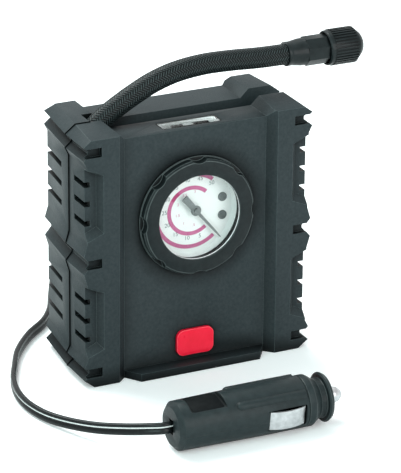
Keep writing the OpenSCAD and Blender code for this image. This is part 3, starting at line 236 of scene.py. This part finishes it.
hose_path = smooth_path([(x, hose_y, z) for x, z in hose_route], hose_step)
hose = tube("air_hose", hose_path, braid_section)
# Each point keeps the weave's height, which the sheath's material turns into painted shade in the valleys and
# a painted highlight on the crests.
weave = hose.data.color_attributes.new("weave", "FLOAT_COLOR", "POINT")
along = 0.0
for i, p in enumerate(hose_path):
    along += (p - hose_path[i - 1]).length if i else 0
    for k in range(braid_around):
        high = braid_high(k / braid_around, along)
        weave.data[i * braid_around + k].color = (high, high, high, 1)
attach(hose, "casing")
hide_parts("hose")


def noise(tree_nodes, scale, detail=4.0):
    """Solid noise in the object's own metres."""
    place = tree_nodes.new("ShaderNodeTexCoord")
    made = tree_nodes.new("ShaderNodeTexNoise")
    made.inputs["Scale"].default_value = scale
    made.inputs["Detail"].default_value = detail
    made.inputs["Roughness"].default_value = 0.55
    tree_nodes.id_data.links.new(place.outputs["Object"], made.inputs["Vector"])
    return made


# Painted shade in corners: how steeply it sets in, and its near-black tone.
corner_power, corner_tone = 2.8, (0.0015, 0.002, 0.0022, 1)
mottle_low, mottle_high, wear_scale, grain_rise = 0.3, 0.7, 40, 0.0002


def finish_of(name, dark, pale, scale, rough, grain=0.0, grain_scale=4000, metal=0.0, spec=0.25,
              corner_shade=0.0):
    """Two close tones mottled by noise, a roughness that wanders between two values, and a fine grain.

    Given a corner shade distance, painted shade darkens the finish in corners narrower than that many metres.
    """
    mat, mn, ml, out = new_material(name)
    face = mn.new("ShaderNodeBsdfPrincipled")
    ml.new(face.outputs[0], out.inputs["Surface"])
    face.inputs["Metallic"].default_value = metal
    face.inputs["Specular IOR Level"].default_value = spec
    tone = noise(mn, scale)
    ramp = mn.new("ShaderNodeValToRGB")
    low_end, high_end = ramp.color_ramp.elements
    low_end.position, high_end.position = mottle_low, mottle_high
    low_end.color, high_end.color = (*dark, 1), (*pale, 1)
    ml.new(tone.outputs["Fac"], ramp.inputs["Fac"])
    tint = ramp.outputs[0]
    # Painted shade: ambient occlusion blends the colour towards the near-black tone in corners and creases.
    if corner_shade:
        corner = mn.new("ShaderNodeAmbientOcclusion")
        corner.inputs["Distance"].default_value = corner_shade
        depth = mn.new("ShaderNodeMath")
        depth.operation = "POWER"
        depth.inputs[1].default_value = corner_power
        ml.new(corner.outputs["AO"], depth.inputs[0])
        corner_shaded = mn.new("ShaderNodeMix")
        corner_shaded.data_type, corner_shaded.blend_type = "RGBA", "MIX"
        corner_shaded.inputs["A"].default_value = corner_tone
        ml.new(depth.outputs[0], corner_shaded.inputs["Factor"])
        ml.new(tint, corner_shaded.inputs["B"])
        tint = corner_shaded.outputs["Result"]
    ml.new(tint, face.inputs["Base Color"])
    wear_and_sheen = noise(mn, wear_scale)
    spread = mn.new("ShaderNodeMapRange")
    for end, value in zip(("From Min", "From Max", "To Min", "To Max"), (mottle_low, mottle_high, *rough)):
        spread.inputs[end].default_value = value
    ml.new(wear_and_sheen.outputs["Fac"], spread.inputs["Value"])
    ml.new(spread.outputs[0], face.inputs["Roughness"])
    if grain:
        fine = noise(mn, grain_scale, 2.0)
        bump = mn.new("ShaderNodeBump")
        bump.inputs["Strength"].default_value = grain
        bump.inputs["Distance"].default_value = grain_rise
        ml.new(fine.outputs["Fac"], bump.inputs["Height"])
        ml.new(bump.outputs[0], face.inputs["Normal"])
    return mat


def dress(piece, mat):
    """Gives a piece or a construction node its material."""
    obj = nodes[piece] if isinstance(piece, str) else piece
    obj.data.materials.clear()
    obj.data.materials.append(mat)
    return obj


def lofted(name, rows, mat, close=False):
    """A surface through rows of equally many points, in millimetres; close joins and caps the rows."""
    bm = bmesh.new()
    made = [[bm.verts.new(Vector(p) * MM) for p in row] for row in rows]
    for a, b in zip(made, made[1:]):
        for k in range(len(a) - (0 if close else 1)):
            j = (k + 1) % len(a)
            bm.faces.new((a[k], a[j], b[j], b[k]))
    if close:
        bm.faces.new(made[0])
        bm.faces.new(list(reversed(made[-1])))
    bmesh.ops.remove_doubles(bm, verts=bm.verts, dist=1e-7)
    bmesh.ops.recalc_face_normals(bm, faces=bm.faces)
    mesh = bpy.data.meshes.new(name)
    bm.to_mesh(mesh)
    bm.free()
    for f in mesh.polygons:
        f.use_smooth = True
    piece = bpy.data.objects.new(name, mesh)
    bpy.context.scene.collection.objects.link(piece)
    return dress(piece, mat)


braid_mat = finish_of("braided_nylon", (0.5, 0.55, 0.55), (1.0, 1.0, 1.0), 1400, (0.25, 0.4), 0.1, 6000,
                      spec=0.12)
bn, bl = braid_mat.node_tree.nodes, braid_mat.node_tree.links
# The weave's height sets the colour: near black between the strands, painted shade, and grey on their crests,
# a painted highlight of their gloss; the noise mottle multiplies it.
height = bn.new("ShaderNodeVertexColor")
height.layer_name = "weave"
strand = bn.new("ShaderNodeValToRGB")
valley, crest = strand.color_ramp.elements
valley.position, crest.position = 0.8, 1.0
valley.color, crest.color = (0.002, 0.0028, 0.003, 1), (0.065, 0.085, 0.087, 1)
bl.new(height.outputs["Color"], strand.inputs["Fac"])
wear_and_sheen = bn.new("ShaderNodeMix")
wear_and_sheen.data_type, wear_and_sheen.blend_type = "RGBA", "MULTIPLY"
wear_and_sheen.inputs["Factor"].default_value = 1.0
bl.new(strand.outputs["Color"], wear_and_sheen.inputs["A"])
face = next(n for n in bn if n.type == "BSDF_PRINCIPLED")
bl.new(face.inputs["Base Color"].links[0].from_socket, wear_and_sheen.inputs["B"])
bl.new(wear_and_sheen.outputs["Result"], face.inputs["Base Color"])
dress(hose, braid_mat)

# ---------------------------------------------------------------------------
# Power lead: two rubbery PVC cores moulded side by side, 5.0 by 2.5 mm, with a pale stripe on one core.
# It leaves the rear shell, is wound and tied behind the casing, and comes round its left side to the plug.
cord_w, cord_t = 5.0, 2.5
tail_route = [(40.4, 46, 24), (40.4, 49, 24), (43, 56, 22.6), (49, 63, 18.2), (55.6, 67.6, 13.2),
              (60, 70.8, 10.2), (61.9, 73.4, 9.6), (63.4, 76, 9.6)]
lead_route = [(-11.4, 100.5, 3.4), (-17, 89, 2.8), (-22.8, 77, 2.6), (-28.6, 65, 2.6), (-34.8, 52, 2.6),
              (-42.2, 41.5, 2.6), (-53, 31.5, 2.6), (-64, 17.5, 2.6), (-71.5, 3, 2.6), (-76.5, -8, 2.6),
              (-79.6, -20, 2.6), (-80, -32, 2.6), (-77.6, -44, 2.8), (-73, -55.5, 3.8), (-66.5, -68, 5.8),
              (-59, -78.5, 8.2), (-52, -85.5, 9.9), (-47, -88.5, 10.5), (-42, -88.5, 10.5)]
lead_in, coil_turns, coil_from = 6, 7, -30
lap_gap, layer_gap, coil_middle_r = 0.55, 0.7, 29
coil_pitch, coil_step = cord_t + lap_gap, cord_w + layer_gap
coil_out = coil_middle_r + coil_pitch * coil_turns / 2
coil_short = 0.49
coil_last = 2 * coil_turns - coil_short
dip_share, dip_depth, drop_from = 0.3, 0.8, 0.25
turn_points = 24
tail_end = Vector(tail_route[-1])
coil_c = (tail_end.x - lead_in * sin(radians(coil_from)) - coil_out * cos(radians(coil_from)),
          tail_end.y + lead_in * cos(radians(coil_from)) - coil_out * sin(radians(coil_from)))
coil_z = tail_end.z - coil_step


def coil_way(t):
    """The way the lead runs after t turns."""
    a = radians(coil_from) + 2 * pi * t
    return Vector((-sin(a), cos(a), 0))


def coil_point(t):
    """In along the upper layer, down in half a turn, and out along the table."""
    near = abs(t - coil_turns) / dip_share
    depth = min(t, 2 * coil_turns - t) + (dip_depth * (1 - near**2) ** 2 if near < 1 else 0)
    drop = min(max((t - coil_turns + drop_from) * 2, 0), 1)
    drop = drop * drop * (3 - 2 * drop)
    a, r = radians(coil_from) + 2 * pi * t, coil_out - coil_pitch * depth
    return Vector((coil_c[0] + r * cos(a), coil_c[1] + r * sin(a), coil_z + coil_step * (1 - drop)))


turns = [coil_point(k / turn_points) for k in range(int(coil_last * turn_points) + 1)]
turns.append(coil_point(coil_last))
coil_end = turns[-1] + lead_in * coil_way(coil_last)
lead_points = ([Vector(p) for p in tail_route] + turns
               + [coil_end, coil_end + lead_in / 2 * coil_way(coil_last)] + [Vector(p) for p in lead_route])
core_r, core_off = cord_t / 2, (cord_w - cord_t) / 2
core_past_half, core_sides, lead_step = 60, 10, 1.6


def lead_section(_run):
    """Two round cores, one above the other, with the valley of their web between."""
    sweep = 180 + 2 * core_past_half
    arc = [radians(-core_past_half + sweep * k / core_sides) for k in range(core_sides + 1)]
    upper = [(core_r * cos(a), core_off + core_r * sin(a)) for a in arc]
    return upper + [(-x, -y) for x, y in upper]


lead_path = smooth_path(lead_points, lead_step)
lead = tube("power_lead", lead_path, lead_section)
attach(lead, "casing")
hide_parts("cord_tail", "cord_coil", "cord_lead")
# The lead gets painted shade in the crease between its cores.
lead_mat = finish_of("lead_pvc", (0.004, 0.006, 0.0065), (0.009, 0.012, 0.0125), 900, (0.2, 0.32), 0.08, 2500,
                     spec=0.18, corner_shade=0.002)
stripe_mat = finish_of("lead_stripe", (0.5, 0.53, 0.52), (0.66, 0.69, 0.68), 900, (0.35, 0.5))
dress(lead, lead_mat)
lead.data.materials.append(stripe_mat)

# The stripe is one row of faces along the upper core's outer side.
ring = len(lead_section(0))
for side in lead.data.polygons:
    if len(side.vertices) == 4 and side.index % ring == 1:
        side.material_index = 1

boot_mat = finish_of("boot_rubber", (0.0099, 0.0106, 0.0114), (0.0213, 0.0227, 0.0227), 700, (0.45, 0.6),
                     0.2, 3000)
dress("cord_boot", boot_mat)
tie_mat = finish_of("tie_nylon", (0.0142, 0.0156, 0.0163), (0.0284, 0.0305, 0.0312), 500, (0.3, 0.42),
                    0.1, 2500)
dress("cord_tie", tie_mat)

# ---------------------------------------------------------------------------
# Casing: two ribbed shells injection moulded in charcoal ABS with a fine spark texture, joined on an
# upright parting line by four screws from behind. Their edges have the small radii of the mould.
# The casing gets painted shade in its corners and recesses, and a paler colour on its rounded edges, a
# painted highlight.
casing_mat = finish_of("casing_abs", (0.0215, 0.029, 0.0315), (0.0305, 0.039, 0.042), 900, (0.42, 0.56),
                       0.45, 3000, spec=0.1, corner_shade=0.009)
casing_edge = finish_of("casing_edge", (0.06, 0.085, 0.087), (0.105, 0.14, 0.142), 700, (0.35, 0.45),
                        0.2, 3000)
weld_gap, flat_deg, edge_deg = 2e-6, 0.6, 28


def soften(piece, width, mat, edge, segments=2):
    """Rounds a construction node's sharp edges as its mould does; the rounds take a second, paler material, a
    painted highlight.
    """
    obj = nodes[piece]
    weld = obj.modifiers.new("weld", "WELD")
    weld.merge_threshold = weld_gap
    flat = obj.modifiers.new("flat", "DECIMATE")
    flat.decimate_type = "DISSOLVE"
    flat.angle_limit = radians(flat_deg)
    bevel = obj.modifiers.new("bevel", "BEVEL")
    bevel.width, bevel.segments = width * MM, segments
    bevel.limit_method, bevel.angle_limit = "ANGLE", radians(edge_deg)
    bevel.harden_normals = True
    for f in obj.data.polygons:
        f.use_smooth = True
    dress(obj, mat)
    obj.data.materials.append(edge)
    bevel.material = 1


for shell in ("front_shell", "rear_shell"):
    soften(shell, 0.3, casing_mat, casing_edge)

# The two shells meet with a narrow open joint, which always lies in its own shade.
half_w, body_h, seam_y, channel_left, channel_floor = 51, 108, -3.9, -40, 94.4
notch_in, notch_half, end_gap, mid_gap = 2.8, 0.6, 5.8, 7.8
joint_half, joint_in, joint_out = 0.26, -0.3, 0.02


def bumper_line(z, gap):
    """One bumper of the casing's right edge, top to bottom: its two tips and the groove between."""
    return [(half_w, z + gap / 2), (half_w - notch_in, z + notch_half), (half_w - notch_in, z - notch_half),
            (half_w, z - gap / 2)]


bay_x = half_w - 1.5
edge_line = ([(half_w - 4.4, body_h)] + bumper_line(101.7, end_gap) + [(bay_x, 95.8), (bay_x, 62.9)]
             + bumper_line(54, mid_gap) + [(bay_x, 45.1), (bay_x, 12.2)] + bumper_line(6.3, end_gap)
             + [(half_w - 4.0, 0.35)])
open_right = [(bay_x, channel_floor)] + edge_line[6:]
open_left = [(channel_left, body_h)] + [(-x, z) for x, z in edge_line]


def joint_line(name, line, outward):
    """A dark strip half a millimetre wide that fills the open joint along line."""
    bm = bmesh.new()
    rows = []
    for i, (x, z) in enumerate(line):
        a, b = line[max(i - 1, 0)], line[min(i + 1, len(line) - 1)]
        way = Vector((b[0] - a[0], 0, b[1] - a[1])).normalized()
        out = Vector((-way.z, 0, way.x)) * outward
        rows.append([bm.verts.new((Vector((x, seam_y + dy, z)) + out * off) * MM)
                     for dy, off in ((-joint_half, joint_in), (-joint_half, joint_out),
                                     (joint_half, joint_out), (joint_half, joint_in))])
    for a, b in zip(rows, rows[1:]):
        for k in range(3):
            bm.faces.new((a[k], a[k + 1], b[k + 1], b[k]))
    bmesh.ops.recalc_face_normals(bm, faces=bm.faces)
    mesh = bpy.data.meshes.new(name)
    bm.to_mesh(mesh)
    bm.free()
    strip = bpy.data.objects.new(name, mesh)
    bpy.context.scene.collection.objects.link(strip)
    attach(strip, "casing")
    dress(strip, shade_mat)


shade_mat = finish_of("joint_shade", (0.0021, 0.0028, 0.0028), (0.0043, 0.005, 0.005), 500, (0.7, 0.9),
                      spec=0.05)
joint_line("casing_joint_right", open_right, 1)
joint_line("casing_joint_left", open_left, 1)
zinc_mat = finish_of("zinc_plate", (0.5, 0.51, 0.52), (0.66, 0.67, 0.68), 420, (0.26, 0.4), 0.1, 5000,
                     metal=1.0)
dress("case_screws", zinc_mat)

# ---------------------------------------------------------------------------
# Gauge: a scalloped black bezel pressed over a clear lens and a bright rim, with a white dish-shaped
# dial behind, printed in magenta and grey. A matt grey pointer rides on a brass movement.
# The bezel gets painted shade in its corners, and a paler colour on its rounded edges, a painted highlight.
bezel_mat = finish_of("bezel_abs", (0.0075, 0.011, 0.012), (0.0125, 0.0175, 0.0185), 420, (0.34, 0.46),
                      0.3, 3400, spec=0.15, corner_shade=0.004)
bezel_edge_highlight = finish_of("bezel_edge_highlight", (0.0355, 0.0461, 0.0461), (0.0568, 0.071, 0.071), 420, (0.34, 0.46),
                       0.2, 3400)
soften("gauge_bezel", 0.25, bezel_mat, bezel_edge_highlight)
chrome_mat = finish_of("bright_plate", (0.9, 0.91, 0.92), (0.96, 0.97, 0.98), 300, (0.3, 0.45),
                       metal=0.6, spec=0.5)
dress("lens_rim", chrome_mat)
rubber_mat = finish_of("black_rubber", (0.0085, 0.0092, 0.0099), (0.0185, 0.0199, 0.0199), 600, (0.5, 0.65),
                       0.2, 3000)
black_mat = finish_of("satin_black", (0.0085, 0.0099, 0.0106), (0.0142, 0.0163, 0.017), 350, (0.36, 0.5),
                      0.18, 3600)
dress("gauge_case", black_mat)
dial_mat = finish_of("dial_enamel", (0.84, 0.85, 0.84), (0.9, 0.91, 0.9), 120, (0.3, 0.42), 0.03, 2500)
dress("gauge_dial", dial_mat)
dark_steel = finish_of("blued_steel", (0.1, 0.115, 0.115), (0.17, 0.19, 0.19), 900, (0.3, 0.42), 0.1, 5000,
                       metal=0.5)
dress("dial_screws", dark_steel)
needle_mat = finish_of("needle_paint", (0.142, 0.1562, 0.1562), (0.1917, 0.2059, 0.2059), 600, (0.35, 0.5),
                       0.1, 5000, metal=0.3)
dress("gauge_pointer", needle_mat)


def clear_stuff(name, tint, rough):
    """Clear moulding that lets light straight through to what is behind it."""
    mat, mn, ml, out = new_material(name)
    sheen = mn.new("ShaderNodeBsdfGlossy")
    sheen.inputs["Roughness"].default_value = rough
    through = mn.new("ShaderNodeBsdfTransparent")
    through.inputs["Color"].default_value = (*tint, 1)
    share = mn.new("ShaderNodeFresnel")
    share.inputs["IOR"].default_value = 1.3
    haze = noise(mn, 90)
    dim = mn.new("ShaderNodeMath")
    dim.operation = "MULTIPLY"
    ml.new(share.outputs[0], dim.inputs[0])
    ml.new(haze.outputs["Fac"], dim.inputs[1])
    mix = mn.new("ShaderNodeMixShader")
    ml.new(dim.outputs[0], mix.inputs[0])
    ml.new(through.outputs[0], mix.inputs[1])
    ml.new(sheen.outputs[0], mix.inputs[2])
    ml.new(mix.outputs[0], out.inputs["Surface"])
    return mat


lens_mat = clear_stuff("clear_styrene", (0.99, 0.998, 0.995), 0.05)
dress("gauge_lens", lens_mat)
panel_y, dial_z, dial_depth = -18.3, 67.0, 4.0
dial_y = panel_y + dial_depth
ring_sides, bead_sides = 96, 10
ring_turns = [2 * pi * k / ring_sides for k in range(ring_sides)]
bead_turns = [2 * pi * k / bead_sides for k in range(bead_sides)]


def gauge_ring(name, profile, mat):
    """A ring spun about the gauge's axis through (radius, forward of the panel) points."""
    rings = [[Vector((r * cos(a), panel_y - h, dial_z + r * sin(a))) for a in ring_turns]
             for r, h in profile + profile[:1]]
    piece = lofted(name, [row + row[:1] for row in rings], mat)
    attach(piece, "casing")


# A gasket at the foot of the lens, a bright bead at the bezel's lip, and a black liner behind the bead.
gauge_ring("lens_gasket", [(18.85, 0.35), (18.85, -0.3), (20.2, -0.3), (20.2, 0.35)], black_mat)
bead_at, bead_forward, bead_r = 18.2, 3.45, 0.16
gauge_ring("rim_bead", [(bead_at + bead_r * cos(a), bead_forward + bead_r * sin(a)) for a in bead_turns],
           chrome_mat)
gauge_ring("rim_liner", [(18.14, 3.3), (18.14, 2.0), (18.55, 1.45), (18.9, 1.45), (18.9, 3.3)], black_mat)

# The printing: two scale arcs, a darker stretch of the inner one, and two rows of numbers.
hub_x, hub_z, zero_deg, sweep_deg = 0.9, 0.8, -50, 260
arc_steps, arc_width, arc_lift, mark_lift, number_lift = 72, 1.7, 0.1, 0.14, 0.1
arc_outer_r, arc_inner_r = 16.5, 10.8
print_pink = finish_of("print_magenta", (0.52, 0.12, 0.26), (0.58, 0.15, 0.31), 900, (0.4, 0.5))
print_deep = finish_of("print_deep_magenta", (0.4, 0.03, 0.13), (0.46, 0.045, 0.17), 900, (0.4, 0.5))
print_grey = finish_of("print_grey", (0.17, 0.2, 0.21), (0.25, 0.28, 0.29), 900, (0.4, 0.5))


def dial_arc(name, outer, from_deg, to_deg, mat, lift):
    """A printed arc on the dial, given by clockwise angles from the scale's zero."""
    bm = bmesh.new()
    rows = []
    for k in range(arc_steps + 1):
        a = radians(zero_deg - from_deg - (to_deg - from_deg) * k / arc_steps)
        rows.append([bm.verts.new(Vector((r * cos(a), dial_y - lift, dial_z + r * sin(a))) * MM)
                     for r in (outer - arc_width, outer)])
    for a, b in zip(rows, rows[1:]):
        bm.faces.new((a[0], a[1], b[1], b[0])).normal_update()
    bm.faces.ensure_lookup_table()
    if bm.faces[0].normal.y > 0:
        bmesh.ops.reverse_faces(bm, faces=bm.faces)
    mesh = bpy.data.meshes.new(name)
    bm.to_mesh(mesh)
    bm.free()
    arc = bpy.data.objects.new(name, mesh)
    bpy.context.scene.collection.objects.link(arc)
    arc.data.materials.append(mat)
    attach(arc, "casing")


dial_arc("dial_arc_outer", arc_outer_r, 0, 258, print_pink, arc_lift)
dial_arc("dial_arc_inner", arc_inner_r, 0, 262, print_pink, arc_lift)
dial_arc("dial_arc_mark", arc_inner_r, 162, 186, print_deep, mark_lift)


def dial_number(text, radius, along, size, mat):
    """A plain number printed upright on the dial at its share of the scale."""
    curve = bpy.data.curves.new("number", "FONT")
    curve.body, curve.size = text, size * MM
    curve.align_x, curve.align_y = "CENTER", "CENTER"
    a = radians(zero_deg - sweep_deg * along)
    carrier = bpy.data.objects.new("number", curve)
    bpy.context.scene.collection.objects.link(carrier)
    carrier.location = Vector((hub_x + radius * cos(a), dial_y - number_lift,
                               dial_z + hub_z + radius * sin(a))) * MM
    carrier.rotation_euler = (pi / 2, 0, 0)
    bpy.context.view_layer.update()
    mesh = bpy.data.meshes.new_from_object(carrier.evaluated_get(bpy.context.evaluated_depsgraph_get()))
    mesh.transform(carrier.matrix_world)
    bpy.data.objects.remove(carrier)
    made = bpy.data.objects.new("dial_number_%s_%d" % (text.replace(".", "_"), round(radius)), mesh)
    bpy.context.scene.collection.objects.link(made)
    made.data.materials.clear()
    made.data.materials.append(mat)
    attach(made, "casing")


scale_top, outer_per_inner = 50, 14.5
for value in range(5, scale_top + 1, 5):
    dial_number(str(value), 12.9, value / scale_top, 2.5, print_grey)
for value in (".5", "1", "1.5", "2", "2.5", "3"):
    dial_number(value, 7.3, float(value) * outer_per_inner / scale_top, 1.7, print_pink)
brass_mat = finish_of("turned_brass", (0.5, 0.34, 0.11), (0.66, 0.48, 0.18), 300, (0.22, 0.36), 0.08, 5000,
                      metal=1.0)
for part in ("gauge_block", "bourdon_tube", "sector_gear", "drive_pinion", "hose_elbow", "chuck_pin"):
    dress(part, brass_mat)

# ---------------------------------------------------------------------------
# Button and switch: a red push button of glossy ABS low in the front panel, in front of a small
# black snap switch held between two rails.
red_mat = finish_of("red_abs", (0.8, 0.006, 0.03), (0.87, 0.01, 0.042), 240, (0.24, 0.36), 0.06, 3500,
                    spec=0.3)
# The button's rounded edges are a brighter red, a painted highlight.
red_edge_highlight = finish_of("red_edge_highlight", (0.95, 0.05, 0.08), (0.97, 0.09, 0.12), 240, (0.24, 0.36), 0.06, 3500,
                     spec=0.3)
soften("power_button", 0.5, red_mat, red_edge_highlight, segments=3)
dress("switch_body", black_mat)

# ---------------------------------------------------------------------------
# Work light: a clear cover in a rubber gasket, flush with the low top, over a bright plated trough.
# One tubular bulb is held in spring clips, with a black holder and a bright cover at the trough's front.
mirror_mat = finish_of("bright_reflector", (0.93, 0.95, 0.95), (0.97, 0.98, 0.98), 300, (0.25, 0.4), spec=0.6)
dress("lamp_reflector", mirror_mat)
dress("lamp_bulb", clear_stuff("lamp_glass", (0.99, 0.98, 0.94), 0.02))
lamp_y, low_top, lamp_w, lamp_d, lamp_corner, corner_deg = -11.3, 104.4, 26.4, 8.0, 1.3, 15


def lamp_loop(inset, depth):
    """A closed loop round the lamp's opening, inset from it and down from the low top."""
    r = lamp_corner - inset
    x0, y0 = lamp_w / 2 - lamp_corner, lamp_d / 2 - lamp_corner
    return [(x + r * cos(radians(a)), lamp_y + y + r * sin(radians(a)), low_top - depth)
            for x, y, start in ((x0, y0, 0), (-x0, y0, 90), (-x0, -y0, 180), (x0, -y0, 270))
            for a in range(start, start + 91, corner_deg)]


gasket_profile = ((0, 0.6), (0, 0.05), (0.1, 0), (0.35, 0), (0.45, 0.05), (0.45, 0.45), (0, 0.6))
gasket_rows = [lamp_loop(*row) for row in gasket_profile]
gasket = lofted("lamp_gasket", [row + row[:1] for row in gasket_rows], rubber_mat)
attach(gasket, "casing")
cover_profile = ((0.47, 0.4), (0.47, 0.1), (0.6, 0.02), (1, 0))
cover = lofted("lamp_cover", [lamp_loop(*row) for row in cover_profile], lens_mat, close=True)
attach(cover, "casing")
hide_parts("lamp_lens")

# The bowl: a trough of elliptical section with rounded ends and a flat rim.
bowl_half, bowl_end, bowl_rim, bowl_reach, bowl_depth = 11.2, 1.5, 3.5, 2.7, 3.2
bowl_z, bowl_steps, bowl_square, section_steps = low_top - 0.46, 12, 6, 16
bowl_rows = []
for k in range(-bowl_steps - 1, bowl_steps + 2):
    share = max(min(k / bowl_steps, 1), -1)
    x = bowl_half * share + (bowl_end if k > bowl_steps else -bowl_end if k < -bowl_steps else 0)
    swell = (1 - abs(share) ** bowl_square) ** 0.5
    bowl_rows.append([(x, lamp_y - bowl_rim, bowl_z)]
                     + [(x, lamp_y - bowl_reach * cos(a), bowl_z - bowl_depth * swell * sin(a))
                        for a in [pi * i / section_steps for i in range(section_steps + 1)]]
                     + [(x, lamp_y + bowl_rim, bowl_z)])
bowl = lofted("reflector_bowl", bowl_rows, mirror_mat)
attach(bowl, "casing")
holder_h, holder_drop, holder_round, holder_end, holder_taper = 0.6, 0.1, 0.15, 0.3, 0.8


def holder(name, x0, x1, front, back, top, mat):
    """A small block in the bowl, its upper edges rounded; front and back are from the lamp's middle."""
    outline = [(front, top - holder_h), (front, top - holder_drop), (front + holder_round, top),
               (back - holder_round, top), (back, top - holder_drop), (back, top - holder_h)]
    middle = (front + back) / 2
    ends = ((x0, holder_taper), (x0 + holder_end, 1), (x1 - holder_end, 1), (x1, holder_taper))
    block = lofted(name, [[(x, lamp_y + middle + (y - middle) * g, low_top + z) for y, z in outline]
                          for x, g in ends], mat, close=True)
    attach(block, "casing")


holder("bulb_holder", -8, 8.4, -3.2, 0.1, -0.43, shade_mat)
holder("bulb_cover", -3.0, 1.4, -2.2, 0.6, -0.41, mirror_mat)
dress("lamp_clips", zinc_mat)

# ---------------------------------------------------------------------------
# Pump: a 12 V motor with a brass pinion turns a nylon gear, whose pin works a piston in a finned
# cylinder. All of it sits inside the casing, behind the vents.
alloy_mat = finish_of("cast_alloy", (0.42, 0.43, 0.44), (0.56, 0.57, 0.58), 260, (0.36, 0.52), 0.3, 2400,
                      metal=1.0)
nylon_mat = finish_of("natural_nylon", (0.72, 0.7, 0.62), (0.82, 0.8, 0.73), 200, (0.35, 0.5), 0.1, 2500)
for part in ("motor_can", "motor_armature", "motor_screws", "crank_axle", "crank_pin", "wrist_pin",
             "valve_plate", "head_screws"):
    dress(part, zinc_mat)
for part in ("pump_frame", "connecting_rod", "piston", "cylinder", "cylinder_head"):
    dress(part, alloy_mat)
dress("motor_cap", black_mat)
dress("crank_gear", nylon_mat)
for part in ("piston_ring", "air_tube", "chuck_seal"):
    dress(part, rubber_mat)
dress("wiring", finish_of("wire_red", (0.5, 0.02, 0.03), (0.6, 0.03, 0.04), 700, (0.35, 0.5), 0.1, 3000))

# ---------------------------------------------------------------------------
# Hose end: a crimped sleeve with an octagonal grip, and the valve chuck that turns on it, ribbed to
# be screwed on by hand. Both are smooth black acetal.
# The acetal gets painted shade in its corners; its paler edge colour, also on the plug, is a painted
# highlight.
acetal_mat = finish_of("black_acetal", (0.006, 0.0095, 0.01), (0.012, 0.017, 0.018), 300, (0.26, 0.38),
                       0.15, 3000, spec=0.16, corner_shade=0.002)
acetal_edge_highlight = finish_of("acetal_edge_highlight", (0.022, 0.03, 0.031), (0.032, 0.041, 0.042), 300, (0.26, 0.38),
                        0.1, 3000)
soften("hose_sleeve", 0.25, acetal_mat, acetal_edge_highlight)
soften("valve_chuck", 0.2, acetal_mat, acetal_edge_highlight)

# ---------------------------------------------------------------------------
# Plug: two halves of black ABS round a fuse and a spring, with a sprung steel contact on each side,
# a nose cap that screws off, and a plated tip.
# The plug's shells get painted shade in their corners and the paler acetal edge colour, a painted highlight.
plug_mat = finish_of("plug_abs", (0.0115, 0.0178, 0.019), (0.018, 0.0265, 0.028), 420, (0.34, 0.46),
                     0.25, 3600, spec=0.15, corner_shade=0.004)
for part in ("plug_shell_upper", "plug_shell_lower", "plug_cap"):
    soften(part, 0.3, plug_mat, acetal_edge_highlight)
silver_mat = finish_of("nickel_plate", (0.42, 0.43, 0.44), (0.58, 0.59, 0.6), 520, (0.28, 0.42), 0.2, 2000,
                       metal=1.0)
for part in ("plug_contact_front", "plug_contact_back", "plug_tip"):
    dress(part, silver_mat)
dress("plug_spring", zinc_mat)

# A bare matt plate closes the recess in the top of the plug's barrel.
plate_mat = finish_of("plate_matt", (0.003, 0.004, 0.0045), (0.006, 0.0075, 0.008), 500, (0.55, 0.7),
                      0.15, 3000, spec=0.06)
plug_x, plug_y, plug_z, roll = -43.7, -88.5, 10.5, radians(8)
plate_half, plate_flat, plate_low, plate_high = 5.5, 5.3, 8.32, 8.46
plate_rows = []
for x, inset in ((6.5, 0.6), (7.1, 0), (19.5, 0), (20.1, 0.6)):
    across = ((-plate_half + inset, plate_low), (-plate_flat + inset, plate_high),
              (plate_flat - inset, plate_high), (plate_half - inset, plate_low))
    plate_rows.append([(plug_x + x, plug_y + y * cos(roll) - z * sin(roll),
                        plug_z + y * sin(roll) + z * cos(roll)) for y, z in across])
plate = lofted("plug_plate", plate_rows, plate_mat)
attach(plate, "casing")
dress("plug_fuse", clear_stuff("fuse_glass", (0.95, 0.97, 0.97), 0.03))

# The whole object's box, with every piece laid over the construction model.
low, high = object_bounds()
